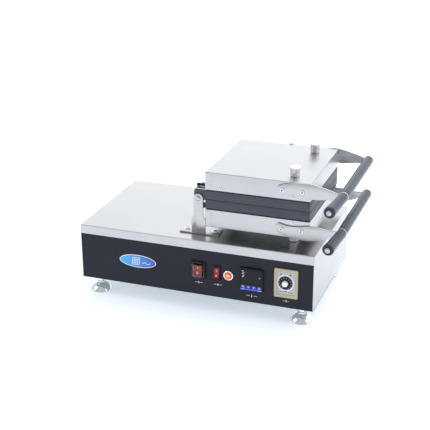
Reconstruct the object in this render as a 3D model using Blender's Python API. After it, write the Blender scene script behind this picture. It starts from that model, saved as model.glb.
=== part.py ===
"""Turn-over waffle iron for a counter: a steel base on four feet and a two-plate head that
opens and turns over about one rod.

The bench frame below is in metres: x runs right from the base's left side, y runs back from
its front, z runs up from its top. The root empty moves it so that the origin is at the
bottom centre of the whole machine.
"""

import math

import bmesh
import bpy
from mathutils import Matrix, Vector

# Base
BASE_LENGTH = 0.500
BASE_DEPTH = 0.282
BASE_HEIGHT = 0.119
FLOOR = -0.155
SHEET = 0.0015
COVER_LIP = 0.0188
SIDE_FLANGE = 0.012
GAP = 0.0003
PANEL_FACE = SHEET + GAP
PANEL_BACK = PANEL_FACE + SHEET

# Controls, by the x and z of their centres on the front panel
POWER = (0.2605, -0.0638)
ALARM = (0.3000, -0.0650)
LAMP = (0.3240, -0.0670)
CONTROLLER = (0.3730, -0.0680)
TIMER = (0.4440, -0.0654)
BADGE = (0.1274, -0.0650)
CONTROLLER_SIZE = 0.048
TIMER_SIZE = (0.048, 0.061)
TIMER_FACE = (0.0365, 0.0475)
KEY_TRAVEL = 0.0008
ROCKER_TILT = math.radians(10)

# Feet
FOOT_INSET = (0.0295, 0.0255)
FOOT_RADIUS = 0.0233
FOOT_NECK = 0.005
STUD_RADIUS = 0.004

# Head
HINGE_X = 0.250
HINGE_Z = 0.078
HEAD_LEFT = 0.265
HEAD_RIGHT = 0.480
HEAD_FRONT = 0.030
HEAD_BACK = BASE_DEPTH - HEAD_FRONT
PLATE_THICK = 0.019
CASING_FROM = 0.0212
CASING_TO = 0.058
CASING_WALL = 0.0012
STANDOFF_TO = HINGE_Z - GAP
STANDOFF_X = 0.439
STANDOFF_Y = 0.065
WAFFLE = (0.165, 0.100)
WAFFLE_DEPTH = 0.012
WAFFLE_WEB = 0.006
STUDS = (6, 4)
STUD_HEIGHT = 0.0095

# Handles: height is the distance from the parting plane between the plates
HANDLE_X = 0.544
HANDLE_HEIGHT = {"upper": 0.040, "lower": 0.034}
ARM_OUTER_END = {"upper": 0.0454, "lower": 0.0420}
ARM_INNER_END = {"upper": 0.0330, "lower": 0.0310}
ARM_THICK = 0.003
GRIP_RADIUS = 0.010
ARM_TIP_RADIUS = 0.0102
FRONT_GRIP_LENGTH = 0.086
FRONT_GRIP_TILT = math.radians(4)
FRONT_GRIP_RADIUS = 0.0113

# Hinge
EAR_THICK = 0.003
EAR_RADIUS = 0.010
ROD_RADIUS = 0.004
LUG_WIDTH = 0.012
LUG_STARTS = {"upper": (0.034, 0.062), "lower": (0.0765,)}

GLAND_BACK = 0.300
FRONT_TIP = HEAD_FRONT - ARM_THICK - FRONT_GRIP_LENGTH - 0.0036
ORIGIN = Vector(((HANDLE_X + ARM_TIP_RADIUS) / 2, (FRONT_TIP + GLAND_BACK) / 2, FLOOR))

ROUND = 20
FACING_FRONT = Matrix.Rotation(math.radians(90), 4, "X")
FACING_BACK = Matrix.Rotation(math.radians(-90), 4, "X")

STEEL = ((0.62, 0.63, 0.65), 0.30, 1.0)
CHROME = ((0.80, 0.81, 0.83), 0.08, 1.0)
BLACK_PAINT = ((0.022, 0.024, 0.042), 0.45, 0.0)
BLACK_PLASTIC = ((0.020, 0.021, 0.026), 0.40, 0.0)
NAVY_BAKELITE = ((0.035, 0.040, 0.062), 0.35, 0.0)
CAST_IRON = ((0.035, 0.042, 0.062), 0.50, 0.6)
RED = ((0.75, 0.02, 0.03), 0.30, 0.0)
CREAM = ((0.75, 0.70, 0.42), 0.45, 0.0)
WHITE = ((0.80, 0.80, 0.80), 0.35, 0.0)
BLUE = ((0.08, 0.12, 0.60), 0.30, 0.0)


# Shapes

def clear_scene():
    for item in list(bpy.data.objects):
        bpy.data.objects.remove(item, do_unlink=True)


def to_mesh(work, place=Matrix()):
    """Turns a bmesh into a mesh with its faces pointing out."""
    bmesh.ops.transform(work, matrix=place, verts=work.verts)
    bmesh.ops.remove_doubles(work, verts=work.verts, dist=0.000001)
    bmesh.ops.recalc_face_normals(work, faces=work.faces)
    mesh = bpy.data.meshes.new("shape")
    work.to_mesh(mesh)
    work.free()
    return mesh


def box(low, high):
    low, high = Vector(low), Vector(high)
    work = bmesh.new()
    bmesh.ops.create_cube(work, size=1.0)
    bmesh.ops.scale(work, vec=high - low, verts=work.verts)
    return to_mesh(work, Matrix.Translation((low + high) / 2))


def block(centre, size, front, back):
    """A box by the x and z of its centre, its width and height, and its front and back y."""
    (x, z), (width, height) = centre, size
    return box((x - width / 2, front, z - height / 2), (x + width / 2, back, z + height / 2))


def turned(profile, place=Matrix(), closed=False, steps=ROUND):
    """Turns (radius, height) points about Z. A closed profile has a bore through it."""
    work = bmesh.new()
    points = [work.verts.new((radius, 0, height)) for radius, height in profile]
    pairs = list(zip(points, points[1:]))
    if closed:
        pairs.append((points[-1], points[0]))
    edges = [work.edges.new(pair) for pair in pairs]
    bmesh.ops.spin(
        work, geom=[*points, *edges], axis=(0, 0, 1), cent=(0, 0, 0), steps=steps, angle=math.tau
    )
    return to_mesh(work, place)


def at(x, y, z, turn=Matrix()):
    return Matrix.Translation((x, y, z)) @ turn


def circle(x, y, radius, start=0.0, sweep=math.tau, steps=ROUND):
    """Points along an arc. A full turn leaves its last point out."""
    count = steps if sweep >= math.tau else steps + 1
    angles = [start + sweep * step / steps for step in range(count)]
    return [(x + radius * math.cos(a), y + radius * math.sin(a)) for a in angles]


def rectangle(centre, size, radius=0.0, steps=4):
    """A rectangle's outline, with round corners when it has a radius."""
    (x, y), (width, height) = centre, size
    corners = []
    for quarter, (sx, sy) in enumerate(((1, 1), (-1, 1), (-1, -1), (1, -1))):
        cx = x + sx * (width / 2 - radius)
        cy = y + sy * (height / 2 - radius)
        if radius:
            corners += circle(cx, cy, radius, quarter * math.pi / 2, math.pi / 2, steps)
        else:
            corners.append((cx, cy))
    return corners


def smooth(points, steps=4):
    """A Catmull-Rom curve through the points, which it passes at every multiple of steps."""
    ends = [points[0], *points, points[-1]]
    curve = []
    for a, b, c, d in zip(ends, ends[1:], ends[2:], ends[3:]):
        for step in range(steps):
            t = step / steps
            curve.append(tuple(
                0.5 * (2 * q + (r - p) * t + (2 * p - 5 * q + 4 * r - s) * t * t
                       + (3 * q - p - 3 * r + s) * t ** 3)
                for p, q, r, s in zip(a, b, c, d)
            ))
    return [*curve, points[-1]]


def evaluated(item):
    """The mesh that an object's modifiers or curve make, with the object removed."""
    bpy.context.collection.objects.link(item)
    graph = bpy.context.evaluated_depsgraph_get()
    mesh = bpy.data.meshes.new_from_object(item.evaluated_get(graph))
    bpy.data.objects.remove(item, do_unlink=True)
    return mesh


def plate(loops, low, high, plane="XZ"):
    """A flat plate from low to high across its plane: the first loop is its outline, the
    others are holes."""
    curve = bpy.data.curves.new("outline", "CURVE")
    curve.dimensions = "2D"
    curve.fill_mode = "BOTH"
    curve.extrude = (high - low) / 2
    for loop in loops:
        spline = curve.splines.new("POLY")
        spline.points.add(len(loop) - 1)
        for point, (u, v) in zip(spline.points, loop):
            point.co = (u, v, 0, 1)
        spline.use_cyclic_u = True
    work = bmesh.new()
    work.from_mesh(evaluated(bpy.data.objects.new("outline", curve)))
    middle = (low + high) / 2
    place = at(0, middle, 0, FACING_FRONT) if plane == "XZ" else at(0, 0, middle)
    return to_mesh(work, place)


def combined(body, tools, operation):
    """Cuts the tools from a body, or joins them to it, with the exact solver."""
    item = bpy.data.objects.new("body", body)
    helpers = []
    for tool in tools:
        helper = bpy.data.objects.new("tool", tool)
        bpy.context.collection.objects.link(helper)
        helpers.append(helper)
        step = item.modifiers.new(operation, "BOOLEAN")
        step.operation = operation
        step.object = helper
        step.solver = "EXACT"
    mesh = evaluated(item)
    for helper in helpers:
        bpy.data.objects.remove(helper, do_unlink=True)
    return mesh


def cut(body, *tools):
    return combined(body, tools, "DIFFERENCE")


def join(body, *tools):
    return combined(body, tools, "UNION")


# Scene structure

def empty(name, place, parent=None):
    item = bpy.data.objects.new(name, None)
    bpy.context.collection.objects.link(item)
    item.location = place
    item.parent = parent
    return item


def finish_material(name, look):
    colour, roughness, metallic = look
    material = bpy.data.materials.new(name + "_finish")
    material.use_nodes = True
    shader = material.node_tree.nodes["Principled BSDF"]
    shader.inputs["Base Color"].default_value = (*colour, 1.0)
    shader.inputs["Roughness"].default_value = roughness
    shader.inputs["Metallic"].default_value = metallic
    material.diffuse_color = (*colour, 1.0)
    return material


class Assembly:
    """Adds named pieces to one group, whose empty stands at a point of the bench frame."""

    def __init__(self, group, origin=(0, 0, 0)):
        self.group = group
        self.origin = Vector(origin)

    def add(self, name, mesh, look, pivot=None):
        """A piece's own origin is at its pivot, or at the group's origin when it has none."""
        pivot = self.origin if pivot is None else Vector(pivot)
        mesh.transform(Matrix.Translation(-pivot))
        mesh.name = name
        mesh.materials.clear()
        mesh.materials.append(finish_material(name, look))
        mesh.shade_smooth()
        mesh.set_sharp_from_angle(angle=math.radians(35))
        item = bpy.data.objects.new(name, mesh)
        bpy.context.collection.objects.link(item)
        item.parent = self.group
        item.location = pivot - self.origin
        return item


# Base

def build_shell(base):
    inner = BASE_LENGTH - SHEET
    back = BASE_DEPTH - SHEET
    flange_from = PANEL_BACK + GAP
    cover = cut(
        box((0, 0, -BASE_HEIGHT), (BASE_LENGTH, BASE_DEPTH, 0)),
        box((SHEET, SHEET, SHEET - BASE_HEIGHT), (inner, back, -SHEET)),
        box((SIDE_FLANGE, -SHEET, -2 * BASE_HEIGHT),
            (BASE_LENGTH - SIDE_FLANGE, BASE_DEPTH + SHEET, -BASE_HEIGHT / 2)),
        *[box((SHEET, low, -2 * BASE_HEIGHT), (inner, high, -COVER_LIP))
          for low, high in ((-SHEET, flange_from), (BASE_DEPTH - flange_from, BASE_DEPTH + SHEET))],
    )
    base.add("base_cover", cover, STEEL)

    middle = (BASE_LENGTH / 2, -(BASE_HEIGHT + PANEL_FACE) / 2)
    face = (BASE_LENGTH - 2 * PANEL_FACE, BASE_HEIGHT - PANEL_FACE)
    openings = [
        rectangle(POWER, (0.0270, 0.0320)),
        rectangle(ALARM, (0.0130, 0.0268)),
        circle(*LAMP, 0.0085),
        rectangle(CONTROLLER, (0.0454, 0.0454)),
        rectangle(TIMER, (0.0380, 0.0490)),
    ]
    front = plate([rectangle(middle, face), *openings], PANEL_FACE, PANEL_BACK)
    base.add("front_panel", front, BLACK_PAINT)

    slots = [
        rectangle((0.170 + 0.020 * row, -0.062), (0.005, 0.056), 0.0024, 2) for row in range(9)
    ]
    lead_hole = circle(0.060, -0.090, 0.0082)
    rear = plate([rectangle(middle, face), lead_hole, *slots], back - GAP - SHEET, back - GAP)
    base.add("back_panel", rear, STEEL)

    vents = [
        rectangle((0.175 + 0.030 * row, 0.141), (0.006, 0.110), 0.0029, 2) for row in range(6)
    ]
    studs = [circle(x, y, STUD_RADIUS + 0.0005) for x, y in foot_places().values()]
    low = SHEET + GAP - BASE_HEIGHT
    floor = rectangle(
        (BASE_LENGTH / 2, BASE_DEPTH / 2), (face[0], BASE_DEPTH - 2 * flange_from)
    )
    base.add("bottom_plate", plate([floor, *studs, *vents], low, low + SHEET, "XY"), STEEL)


def foot_places():
    dx, dy = FOOT_INSET
    return {
        "front_left": (dx, dy),
        "front_right": (BASE_LENGTH - dx, dy),
        "rear_left": (dx, BASE_DEPTH - dy),
        "rear_right": (BASE_LENGTH - dx, BASE_DEPTH - dy),
    }


def build_feet(base):
    """Bell feet: a flared skirt, a collar, a neck under the floor plate and a stud."""
    neck_top = SHEET - BASE_HEIGHT - FLOOR
    stud_top = neck_top + 0.014
    profile = [
        (0, 0), (0.0220, 0), (FOOT_RADIUS, 0.0010), (FOOT_RADIUS, 0.0030), (0.0213, 0.0050),
        (0.0176, 0.0100), (0.0148, 0.0145), (0.0132, 0.0170), (0.0115, 0.0180),
        (0.0076, 0.0180), (0.0076, 0.0208), (FOOT_NECK, 0.0208), (FOOT_NECK, neck_top),
        (STUD_RADIUS, neck_top), (STUD_RADIUS, stud_top), (0, stud_top),
    ]
    for corner, (x, y) in foot_places().items():
        foot = turned(profile, at(x, y, FLOOR))
        base.add("foot_" + corner, foot, CHROME, pivot=(x, y, FLOOR))


def rocker(centre, width, half_length, depth, pivot_y):
    """A rocker paddle: a shallow V in front and a round heel about its pivot, turned to off."""
    x, z = centre
    outline = [(-depth, half_length), (-depth + 0.0014, 0), (-depth, -half_length)]
    outline += circle(0, 0, 0.0032, math.radians(-60), math.radians(120), 6)
    low, high = x - width / 2, x + width / 2
    mesh = plate([outline], low, high, "XY")
    across = Matrix(((0, 0, 1, 0), (1, 0, 0, 0), (0, 1, 0, 0), (0, 0, 0, 1)))
    mesh.transform(at(0, pivot_y, z) @ Matrix.Rotation(-ROCKER_TILT, 4, "X") @ across)
    return mesh


def switch_body(centre, flange, body, well, proud, back):
    """A snap-in switch: a flange in front of the panel, a body behind it, and the paddle's well."""
    front = PANEL_FACE - GAP
    return cut(
        join(block(centre, flange, -proud, front), block(centre, body, -proud / 2, back)),
        block(centre, well, -2 * proud, 0.0145),
    )


def build_switches(base):
    proud = 0.0012
    body = switch_body(POWER, (0.0308, 0.0367), (0.0262, 0.0312), (0.0200, 0.0258), proud, 0.030)
    base.add("power_switch_body", body, BLACK_PLASTIC)
    pivot_y = 0.0035
    paddle = rocker(POWER, 0.0190, 0.0112, 0.0092, pivot_y)
    base.add("power_rocker", paddle, RED, pivot=(POWER[0], pivot_y, POWER[1]))
    back, front, wall = -proud - GAP, -0.0105, 0.0011
    boot = cut(
        block(POWER, (0.0230, 0.0300), front, back),
        block(POWER, (0.0230 - 2 * wall, 0.0300 - 2 * wall), front + wall, back + wall),
    )
    base.add("power_switch_boot", boot, WHITE)

    body = switch_body(ALARM, (0.0146, 0.0300), (0.0122, 0.0260), (0.0109, 0.0244), 0.0008, 0.024)
    base.add("alarm_switch_body", body, BLACK_PLASTIC)
    paddle = rocker(ALARM, 0.0102, 0.0105, 0.0072, pivot_y)
    base.add("alarm_rocker", paddle, RED, pivot=(ALARM[0], pivot_y, ALARM[1]))


def build_lamp(base):
    """Heights are measured from the panel's face, forwards."""
    place = at(LAMP[0], PANEL_FACE - GAP, LAMP[1], FACING_FRONT)
    bezel = [
        (0, -0.030), (0.0080, -0.030), (0.0080, 0), (0.0105, 0), (0.0105, 0.0018),
        (0.0098, 0.0026), (0.0080, 0.0026), (0.0073, 0.0018), (0.0073, -0.010), (0, -0.010),
    ]
    base.add("pilot_lamp_bezel", turned(bezel, place), CHROME)
    lens = [(0, -0.0097), (0.0070, -0.0097), (0.0070, 0.0016), (0.0062, 0.0030),
            (0.0036, 0.0041), (0, 0.0045)]
    base.add("pilot_lamp_lens", turned(lens, place), RED)


def build_controller(base):
    """A 48 mm square panel instrument with a window and a row of four keys."""
    x, z = CONTROLLER
    front = -0.0030
    window = ((x, z + 0.0060), (0.0440, 0.0300))
    key_size = (0.0086, 0.0062)
    key_row = [(x + (number - 1.5) * 0.0112, z - 0.0158) for number in range(4)]
    body = join(
        block(CONTROLLER, (CONTROLLER_SIZE,) * 2, front, PANEL_FACE - GAP),
        block(CONTROLLER, (0.0446, 0.0446), 0, 0.070),
    )
    recesses = [block(window[0], window[1], 2 * front, front + 0.0012)]
    wells = (key_size[0] + 2 * GAP, key_size[1] + 2 * GAP)
    recesses += [block(key, wells, 2 * front, front + 0.0032) for key in key_row]
    base.add("controller_body", cut(body, *recesses), BLACK_PLASTIC)
    pane = (window[1][0] - 2 * GAP, window[1][1] - 2 * GAP)
    base.add(
        "controller_window", block(window[0], pane, front + 0.0001, front + 0.0009), BLACK_PLASTIC
    )
    for name, key in zip(("set", "shift", "down", "up"), key_row):
        cap = block(key, key_size, front - 0.0004, front + 0.0032 - KEY_TRAVEL - GAP)
        base.add("key_" + name, cap, BLUE, pivot=(key[0], front, key[1]))


def build_timer(base):
    face = -0.0008
    frame = plate([rectangle(TIMER, TIMER_SIZE, 0.002), rectangle(TIMER, (0.0372, 0.0482))],
                  -0.0018, PANEL_FACE - GAP)
    base.add("timer_frame", frame, CREAM)
    body = block(TIMER, TIMER_FACE, face, 0.060)
    knob_x, knob_z = TIMER[0] - 0.001, TIMER[1] + 0.0014
    place = at(knob_x, face, knob_z, FACING_FRONT)
    shaft_hole = turned([(0, -0.012), (0.0034, -0.012), (0.0034, 0.002), (0, 0.002)], place)
    base.add("timer_body", cut(body, shaft_hole), WHITE)
    pivot = (knob_x, face, knob_z)
    dial = [
        (0.0046, GAP), (0.0142, GAP), (0.0142, 0.0014), (0.0132, 0.0022), (0.0046, 0.0026),
    ]
    base.add("timer_dial", turned(dial, place, closed=True), BLACK_PLASTIC, pivot=pivot)
    cap = [
        (0, -0.011), (0.0030, -0.011), (0.0030, -0.0002), (0.0043, 0.0005), (0.0043, 0.0029),
        (0.0072, 0.0029), (0.0070, 0.0120), (0.0062, 0.0128), (0, 0.0128),
    ]
    base.add("timer_knob", turned(cap, place), WHITE, pivot=pivot)


def build_badge(base):
    x, z = BADGE
    oval = [(x + 0.0405 * math.cos(a), z + 0.0140 * math.sin(a))
            for a in (math.tau * step / 40 for step in range(40))]
    base.add("badge_plate", plate([oval], PANEL_FACE - GAP - 0.0012, PANEL_FACE - GAP), BLUE)


def build_wiring_parts(base):
    """What the base holds inside: the contactor, the terminal block, the buzzer, the gland."""
    low = 2 * SHEET + 2 * GAP - BASE_HEIGHT
    contactor = join(
        box((0.120, 0.120, low), (0.166, 0.200, low + 0.040)),
        box((0.124, 0.134, low + 0.039), (0.162, 0.186, low + 0.072)),
    )
    base.add("contactor", contactor, BLACK_PLASTIC)
    block_low, block_high = Vector((0.060, 0.205, low)), Vector((0.140, 0.227, low + 0.024))
    ways = [
        box((block_low.x + 0.006 + 0.012 * way, block_low.y - 0.001, low + 0.014),
            (block_low.x + 0.014 + 0.012 * way, block_high.y + 0.001, low + 0.025))
        for way in range(6)
    ]
    base.add("terminal_block", cut(box(block_low, block_high), *ways), WHITE)
    drum = [(0, 0), (0.0115, 0), (0.0115, 0.010), (0.0015, 0.010), (0.0015, 0.007), (0, 0.007)]
    base.add("buzzer", turned(drum, at(0.215, 0.090, low)), BLACK_PLASTIC)
    place = at(0.060, BASE_DEPTH - SHEET, -0.090, FACING_BACK)
    tip = GLAND_BACK - BASE_DEPTH + SHEET
    gland = [
        (0.0036, -0.012), (0.0078, -0.012), (0.0078, 0), (0.0110, 0), (0.0110, 0.006),
        (0.0098, 0.0075), (0.0098, 0.0145), (0.0068, tip), (0.0036, tip),
    ]
    base.add("mains_gland", turned(gland, place, closed=True), BLACK_PLASTIC)


def build_hinge(base):
    """Two ears on feet that stand on the cover, and the rod between them."""
    narrow, wide = EAR_RADIUS, 0.015
    low_edge = 0.001
    ear = [(HINGE_X + wide, low_edge), (HINGE_X + wide, 0.034), (HINGE_X + narrow, 0.041)]
    ear += circle(HINGE_X, HINGE_Z, EAR_RADIUS, 0, math.pi, 12)
    ear += [(HINGE_X - narrow, 0.041), (HINGE_X - wide, 0.034),
            (HINGE_X - wide, low_edge)]
    hole = circle(HINGE_X, HINGE_Z, ROD_RADIUS + GAP)
    front = HEAD_FRONT + GAP
    foot_depth, foot_step = 0.0315, 0.0005
    for side, low in (("front", front), ("rear", BASE_DEPTH - front - EAR_THICK)):
        foot_y = foot_step + foot_depth / 2
        middle = low + foot_y if side == "front" else low + EAR_THICK - foot_y
        foot = plate(
            [rectangle((HINGE_X, middle), (0.084, foot_depth), 0.003)],
            GAP, GAP + EAR_THICK, "XY",
        )
        bracket = join(plate([ear, hole], low, low + EAR_THICK), foot)
        base.add("hinge_bracket_" + side, bracket, STEEL)
    end = front - GAP
    half = BASE_DEPTH / 2
    neck = half - LUG_STARTS["lower"][0] - LUG_WIDTH - 0.001
    rod = [
        (0, end - half - 0.0032), (0.0030, end - half - 0.0032), (0.0053, end - half - 0.0014),
        (0.0053, end - half), (ROD_RADIUS, end - half), (ROD_RADIUS, -neck), (0.0070, -neck),
    ]
    rod += [(radius, -height) for radius, height in reversed(rod)]
    base.add("hinge_rod", turned(rod, at(HINGE_X, half, HINGE_Z, FACING_BACK)), STEEL)


# Head: shapes are made for the upper half, with z as the height above the parting plane

class Half(Assembly):
    """One half of the head. The lower half is the upper one's shape turned upside down."""

    def __init__(self, group, name):
        super().__init__(group, (HINGE_X, BASE_DEPTH / 2, HINGE_Z))
        self.name = name
        self.side = 1 if name == "upper" else -1

    def add_piece(self, name, mesh, look):
        mesh.transform(Matrix.Translation((0, 0, HINGE_Z)) @ Matrix.Diagonal((1, 1, self.side, 1)))
        if self.side < 0:
            mesh.flip_normals()
        self.add(f"{self.name}_{name}", mesh, look)


def lug(low):
    """A block as thick as the plate that reaches over the rod, with a round heel below."""
    outline = [(HEAD_LEFT + 0.0015, 0.0004), (HEAD_LEFT + 0.0015, PLATE_THICK),
               (HINGE_X - 0.0070, PLATE_THICK), (HINGE_X - EAR_RADIUS, PLATE_THICK - 0.006)]
    outline += circle(HINGE_X, 0, EAR_RADIUS, math.pi, math.radians(120), 8)
    outline.append((HEAD_LEFT - 0.001, 0.0004))
    bore = circle(HINGE_X, 0, ROD_RADIUS + GAP, steps=16)
    return plate([outline, bore], low, low + LUG_WIDTH)


def waffle_studs(x, y, floor):
    """Blunt pyramids in a grid, with their feet sunk in the cavity's floor."""
    columns, rows = STUDS
    pitch_x, pitch_y = WAFFLE[0] / columns, WAFFLE[1] / rows
    work = bmesh.new()
    for column in range(columns):
        for row in range(rows):
            middle = Vector((x + (column + 0.5) * pitch_x, y + (row + 0.5) * pitch_y, 0))
            rings = []
            for width, height in ((0.0175, 0.0010), (0.0110, -STUD_HEIGHT)):
                corners = [(-1, -1), (1, -1), (1, 1), (-1, 1)]
                rings.append([
                    work.verts.new(middle + Vector((
                        width / 2 * sx, (width - 0.001) / 2 * sy, floor + height)))
                    for sx, sy in corners
                ])
            work.faces.new(rings[0])
            work.faces.new(rings[1])
            for a in range(4):
                b = (a + 1) % 4
                work.faces.new((rings[0][a], rings[0][b], rings[1][b], rings[1][a]))
    return to_mesh(work)


def build_baking_plate(half):
    """A thick plate whose face holds two waffle moulds, with lugs for the rod at both ends."""
    inset = 0.0005
    body = box((HEAD_LEFT + inset, HEAD_FRONT + inset, GAP / 2),
               (HEAD_RIGHT, HEAD_BACK - inset, PLATE_THICK))
    lugs = []
    for start in LUG_STARTS[half.name]:
        lugs += [lug(start), lug(BASE_DEPTH - start - LUG_WIDTH)]
    middle_x, middle_y = (HEAD_LEFT + HEAD_RIGHT) / 2, BASE_DEPTH / 2
    left = middle_x - WAFFLE[0] / 2
    fronts = (middle_y - WAFFLE_WEB / 2 - WAFFLE[1], middle_y + WAFFLE_WEB / 2)
    moulds = [
        box((left, front, -0.001), (left + WAFFLE[0], front + WAFFLE[1], WAFFLE_DEPTH))
        for front in fronts
    ]
    mesh = cut(join(body, *lugs), *moulds)
    mesh = join(mesh, *[waffle_studs(left, front, WAFFLE_DEPTH) for front in fronts])
    half.add_piece("plate", mesh, CAST_IRON)


def build_mount_plate(half):
    """The sheet between the baking plate and the casing, with a tab over the lugs each end."""
    left, right, margin = HINGE_X - 0.007, HEAD_RIGHT - 0.003, 0.0035
    inner, front, back = HEAD_LEFT + 0.003, HEAD_FRONT + margin, HEAD_BACK - margin
    tab = 0.028
    outline = [
        (left, front), (right, front), (right, back), (left, back), (left, back - tab),
        (inner, back - tab), (inner, front + tab), (left, front + tab),
    ]
    low = PLATE_THICK + GAP
    half.add_piece("mount_plate", plate([outline], low, low + 0.0016, "XY"), STEEL)


def build_heater(half):
    """A tubular element that runs back and forth over the mount plate."""
    low_x, high_x, runs, radius = 0.292, 0.456, 5, 0.0036
    pitch = 0.038
    first = BASE_DEPTH / 2 - pitch * (runs - 1) / 2
    route = []
    for run in range(runs):
        y = first + pitch * run
        turn_x, way = (high_x, 1) if run % 2 == 0 else (low_x, -1)
        route.append((low_x + high_x - turn_x, y))
        if run < runs - 1:
            route += [
                (turn_x + way * pitch / 2 * math.sin(a), y + pitch / 2 * (1 - math.cos(a)))
                for a in (math.pi * step / 6 for step in range(7))
            ]
        else:
            route.append((turn_x, y))
    curve = bpy.data.curves.new("element", "CURVE")
    curve.dimensions = "3D"
    curve.bevel_depth = radius
    curve.bevel_resolution = 2
    curve.use_fill_caps = True
    spline = curve.splines.new("POLY")
    spline.points.add(len(route) - 1)
    for point, (x, y) in zip(spline.points, route):
        point.co = (x, y, PLATE_THICK + 0.0060, 1)
    work = bmesh.new()
    work.from_mesh(evaluated(bpy.data.objects.new("element", curve)))
    half.add_piece("heater", to_mesh(work), STEEL)


def build_casing(half):
    wall = CASING_WALL
    gland_x, gland_z = 0.378, 0.0500
    shell = cut(
        box((HEAD_LEFT, HEAD_FRONT, CASING_FROM), (HEAD_RIGHT, HEAD_BACK, CASING_TO)),
        box((HEAD_LEFT + wall, HEAD_FRONT + wall, 0),
            (HEAD_RIGHT - wall, HEAD_BACK - wall, CASING_TO - wall)),
        turned([(0, -0.01), (0.0058, -0.01), (0.0058, 0.01), (0, 0.01)],
               at(gland_x, HEAD_BACK, gland_z, FACING_BACK)),
    )
    half.add_piece("casing", shell, STEEL)
    gland = [
        (0.0026, -0.010), (0.0054, -0.010), (0.0054, GAP), (0.0095, GAP), (0.0095, 0.005),
        (0.0082, 0.0062), (0.0082, 0.0110), (0.0055, 0.0150), (0.0026, 0.0150),
    ]
    place = at(gland_x, HEAD_BACK, gland_z, FACING_BACK)
    half.add_piece("lead_gland", turned(gland, place, closed=True), STEEL)
    pad = box((HEAD_LEFT + 0.006, HEAD_FRONT + 0.006, 0.0310),
              (HEAD_RIGHT - 0.006, HEAD_BACK - 0.014, CASING_TO - wall - 0.001))
    half.add_piece("insulation", pad, WHITE)


def build_standoffs(half):
    """Turned knobs that carry the head when it lies on the base, on either side."""
    low = CASING_TO + GAP
    profile = [
        (0, low), (0.0085, low), (0.0085, low + 0.0018), (0.0097, low + 0.0026),
        (0.0097, STANDOFF_TO - 0.0050), (0.0104, STANDOFF_TO - 0.0042), (0.0111, STANDOFF_TO - 0.0036),
        (0.0111, STANDOFF_TO - 0.0010), (0.0101, STANDOFF_TO), (0, STANDOFF_TO),
    ]
    for side, y in (("front", STANDOFF_Y), ("rear", BASE_DEPTH - STANDOFF_Y)):
        half.add_piece("standoff_" + side, turned(profile, at(STANDOFF_X, y, 0)), STEEL)


def arm_outline(half):
    """A leaf: its outer edge arches over the casing, its inner edge clears the casing's screw,
    and its right end is round about the grip."""
    height = HANDLE_HEIGHT[half.name]
    outer = [(0.412, 0.0420), (0.417, 0.0490), (0.437, 0.0555), (0.460, 0.0583), (0.480, 0.0590),
             (0.509, 0.0530), (0.5345, ARM_OUTER_END[half.name])]
    inner = [(0.5345, ARM_INNER_END[half.name]), (0.514, 0.0310), (0.497, 0.0285),
             (0.480, 0.0280), (0.461, 0.0315), (0.443, 0.0331), (0.429, 0.0314),
             (0.418, 0.0290), (0.412, 0.0350)]
    start = math.atan2(outer[-1][1] - height, outer[-1][0] - HANDLE_X)
    end = math.atan2(inner[0][1] - height, inner[0][0] - HANDLE_X)
    sweep = (start - end) % math.tau
    tip = circle(HANDLE_X, height, ARM_TIP_RADIUS, start, -sweep, 20)
    return smooth(outer, 3)[:-1] + tip + smooth(inner, 3)[1:]


def build_handle(half):
    height = HANDLE_HEIGHT[half.name]
    bolt_hole = circle(HANDLE_X, height, 0.0042, steps=16)
    arm = [arm_outline(half), bolt_hole]
    front = HEAD_FRONT - GAP
    half.add_piece("arm_front", plate(arm, front - ARM_THICK, front), STEEL)
    half.add_piece("arm_rear", plate(arm, HEAD_BACK + GAP, HEAD_BACK + GAP + ARM_THICK), STEEL)

    length = HEAD_BACK - HEAD_FRONT
    bore, depth = 0.0045, 0.016
    grip = [
        (0, depth), (bore, depth), (bore, 0), (GRIP_RADIUS - 0.0006, 0), (GRIP_RADIUS, 0.0006),
        (GRIP_RADIUS, length - 0.0045), (GRIP_RADIUS - 0.0013, length - 0.0013),
        (GRIP_RADIUS - 0.0045, length), (0, length),
    ]
    place = at(HANDLE_X, HEAD_FRONT, height, FACING_BACK)
    half.add_piece("long_grip", turned(grip, place), NAVY_BAKELITE)

    tilted = Matrix.Rotation(-FRONT_GRIP_TILT, 4, "Z") @ FACING_FRONT
    place = at(HANDLE_X, front - ARM_THICK - GAP, height, tilted)
    start, end = 0.0008, FRONT_GRIP_LENGTH
    grip = [
        (0.0035, start), (0.0094, start), (0.0098, start + 0.0006), (0.0100, 0.030),
        (0.0106, 0.060), (FRONT_GRIP_RADIUS, end - 0.006), (FRONT_GRIP_RADIUS, end - 0.0022),
        (FRONT_GRIP_RADIUS - 0.0018, end - 0.0003), (FRONT_GRIP_RADIUS - 0.0036, end),
        (0.0064, end), (0.0058, end - 0.0012), (0.0035, end - 0.0012),
    ]
    half.add_piece("front_grip", turned(grip, place, closed=True), NAVY_BAKELITE)
    head = end - 0.0012 + GAP
    bolt = [
        (0, -0.015), (0.0030, -0.015), (0.0030, head), (0.0053, head), (0.0053, head + 0.0022),
        (0.0040, head + 0.0036), (0, head + 0.0042),
    ]
    half.add_piece("grip_bolt", turned(bolt, place), CHROME)


def build_half(half):
    build_baking_plate(half)
    build_mount_plate(half)
    build_heater(half)
    build_casing(half)
    build_standoffs(half)
    build_handle(half)


def main():
    clear_scene()
    root = empty("machine", -ORIGIN)
    base = Assembly(root)
    for build in (build_shell, build_feet, build_switches, build_lamp, build_controller,
                  build_timer, build_badge, build_wiring_parts, build_hinge):
        build(base)
    hinge = (HINGE_X, BASE_DEPTH / 2, HINGE_Z)
    for name in ("lower", "upper"):
        build_half(Half(empty(name + "_half", hinge, root), name))


main()
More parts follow.
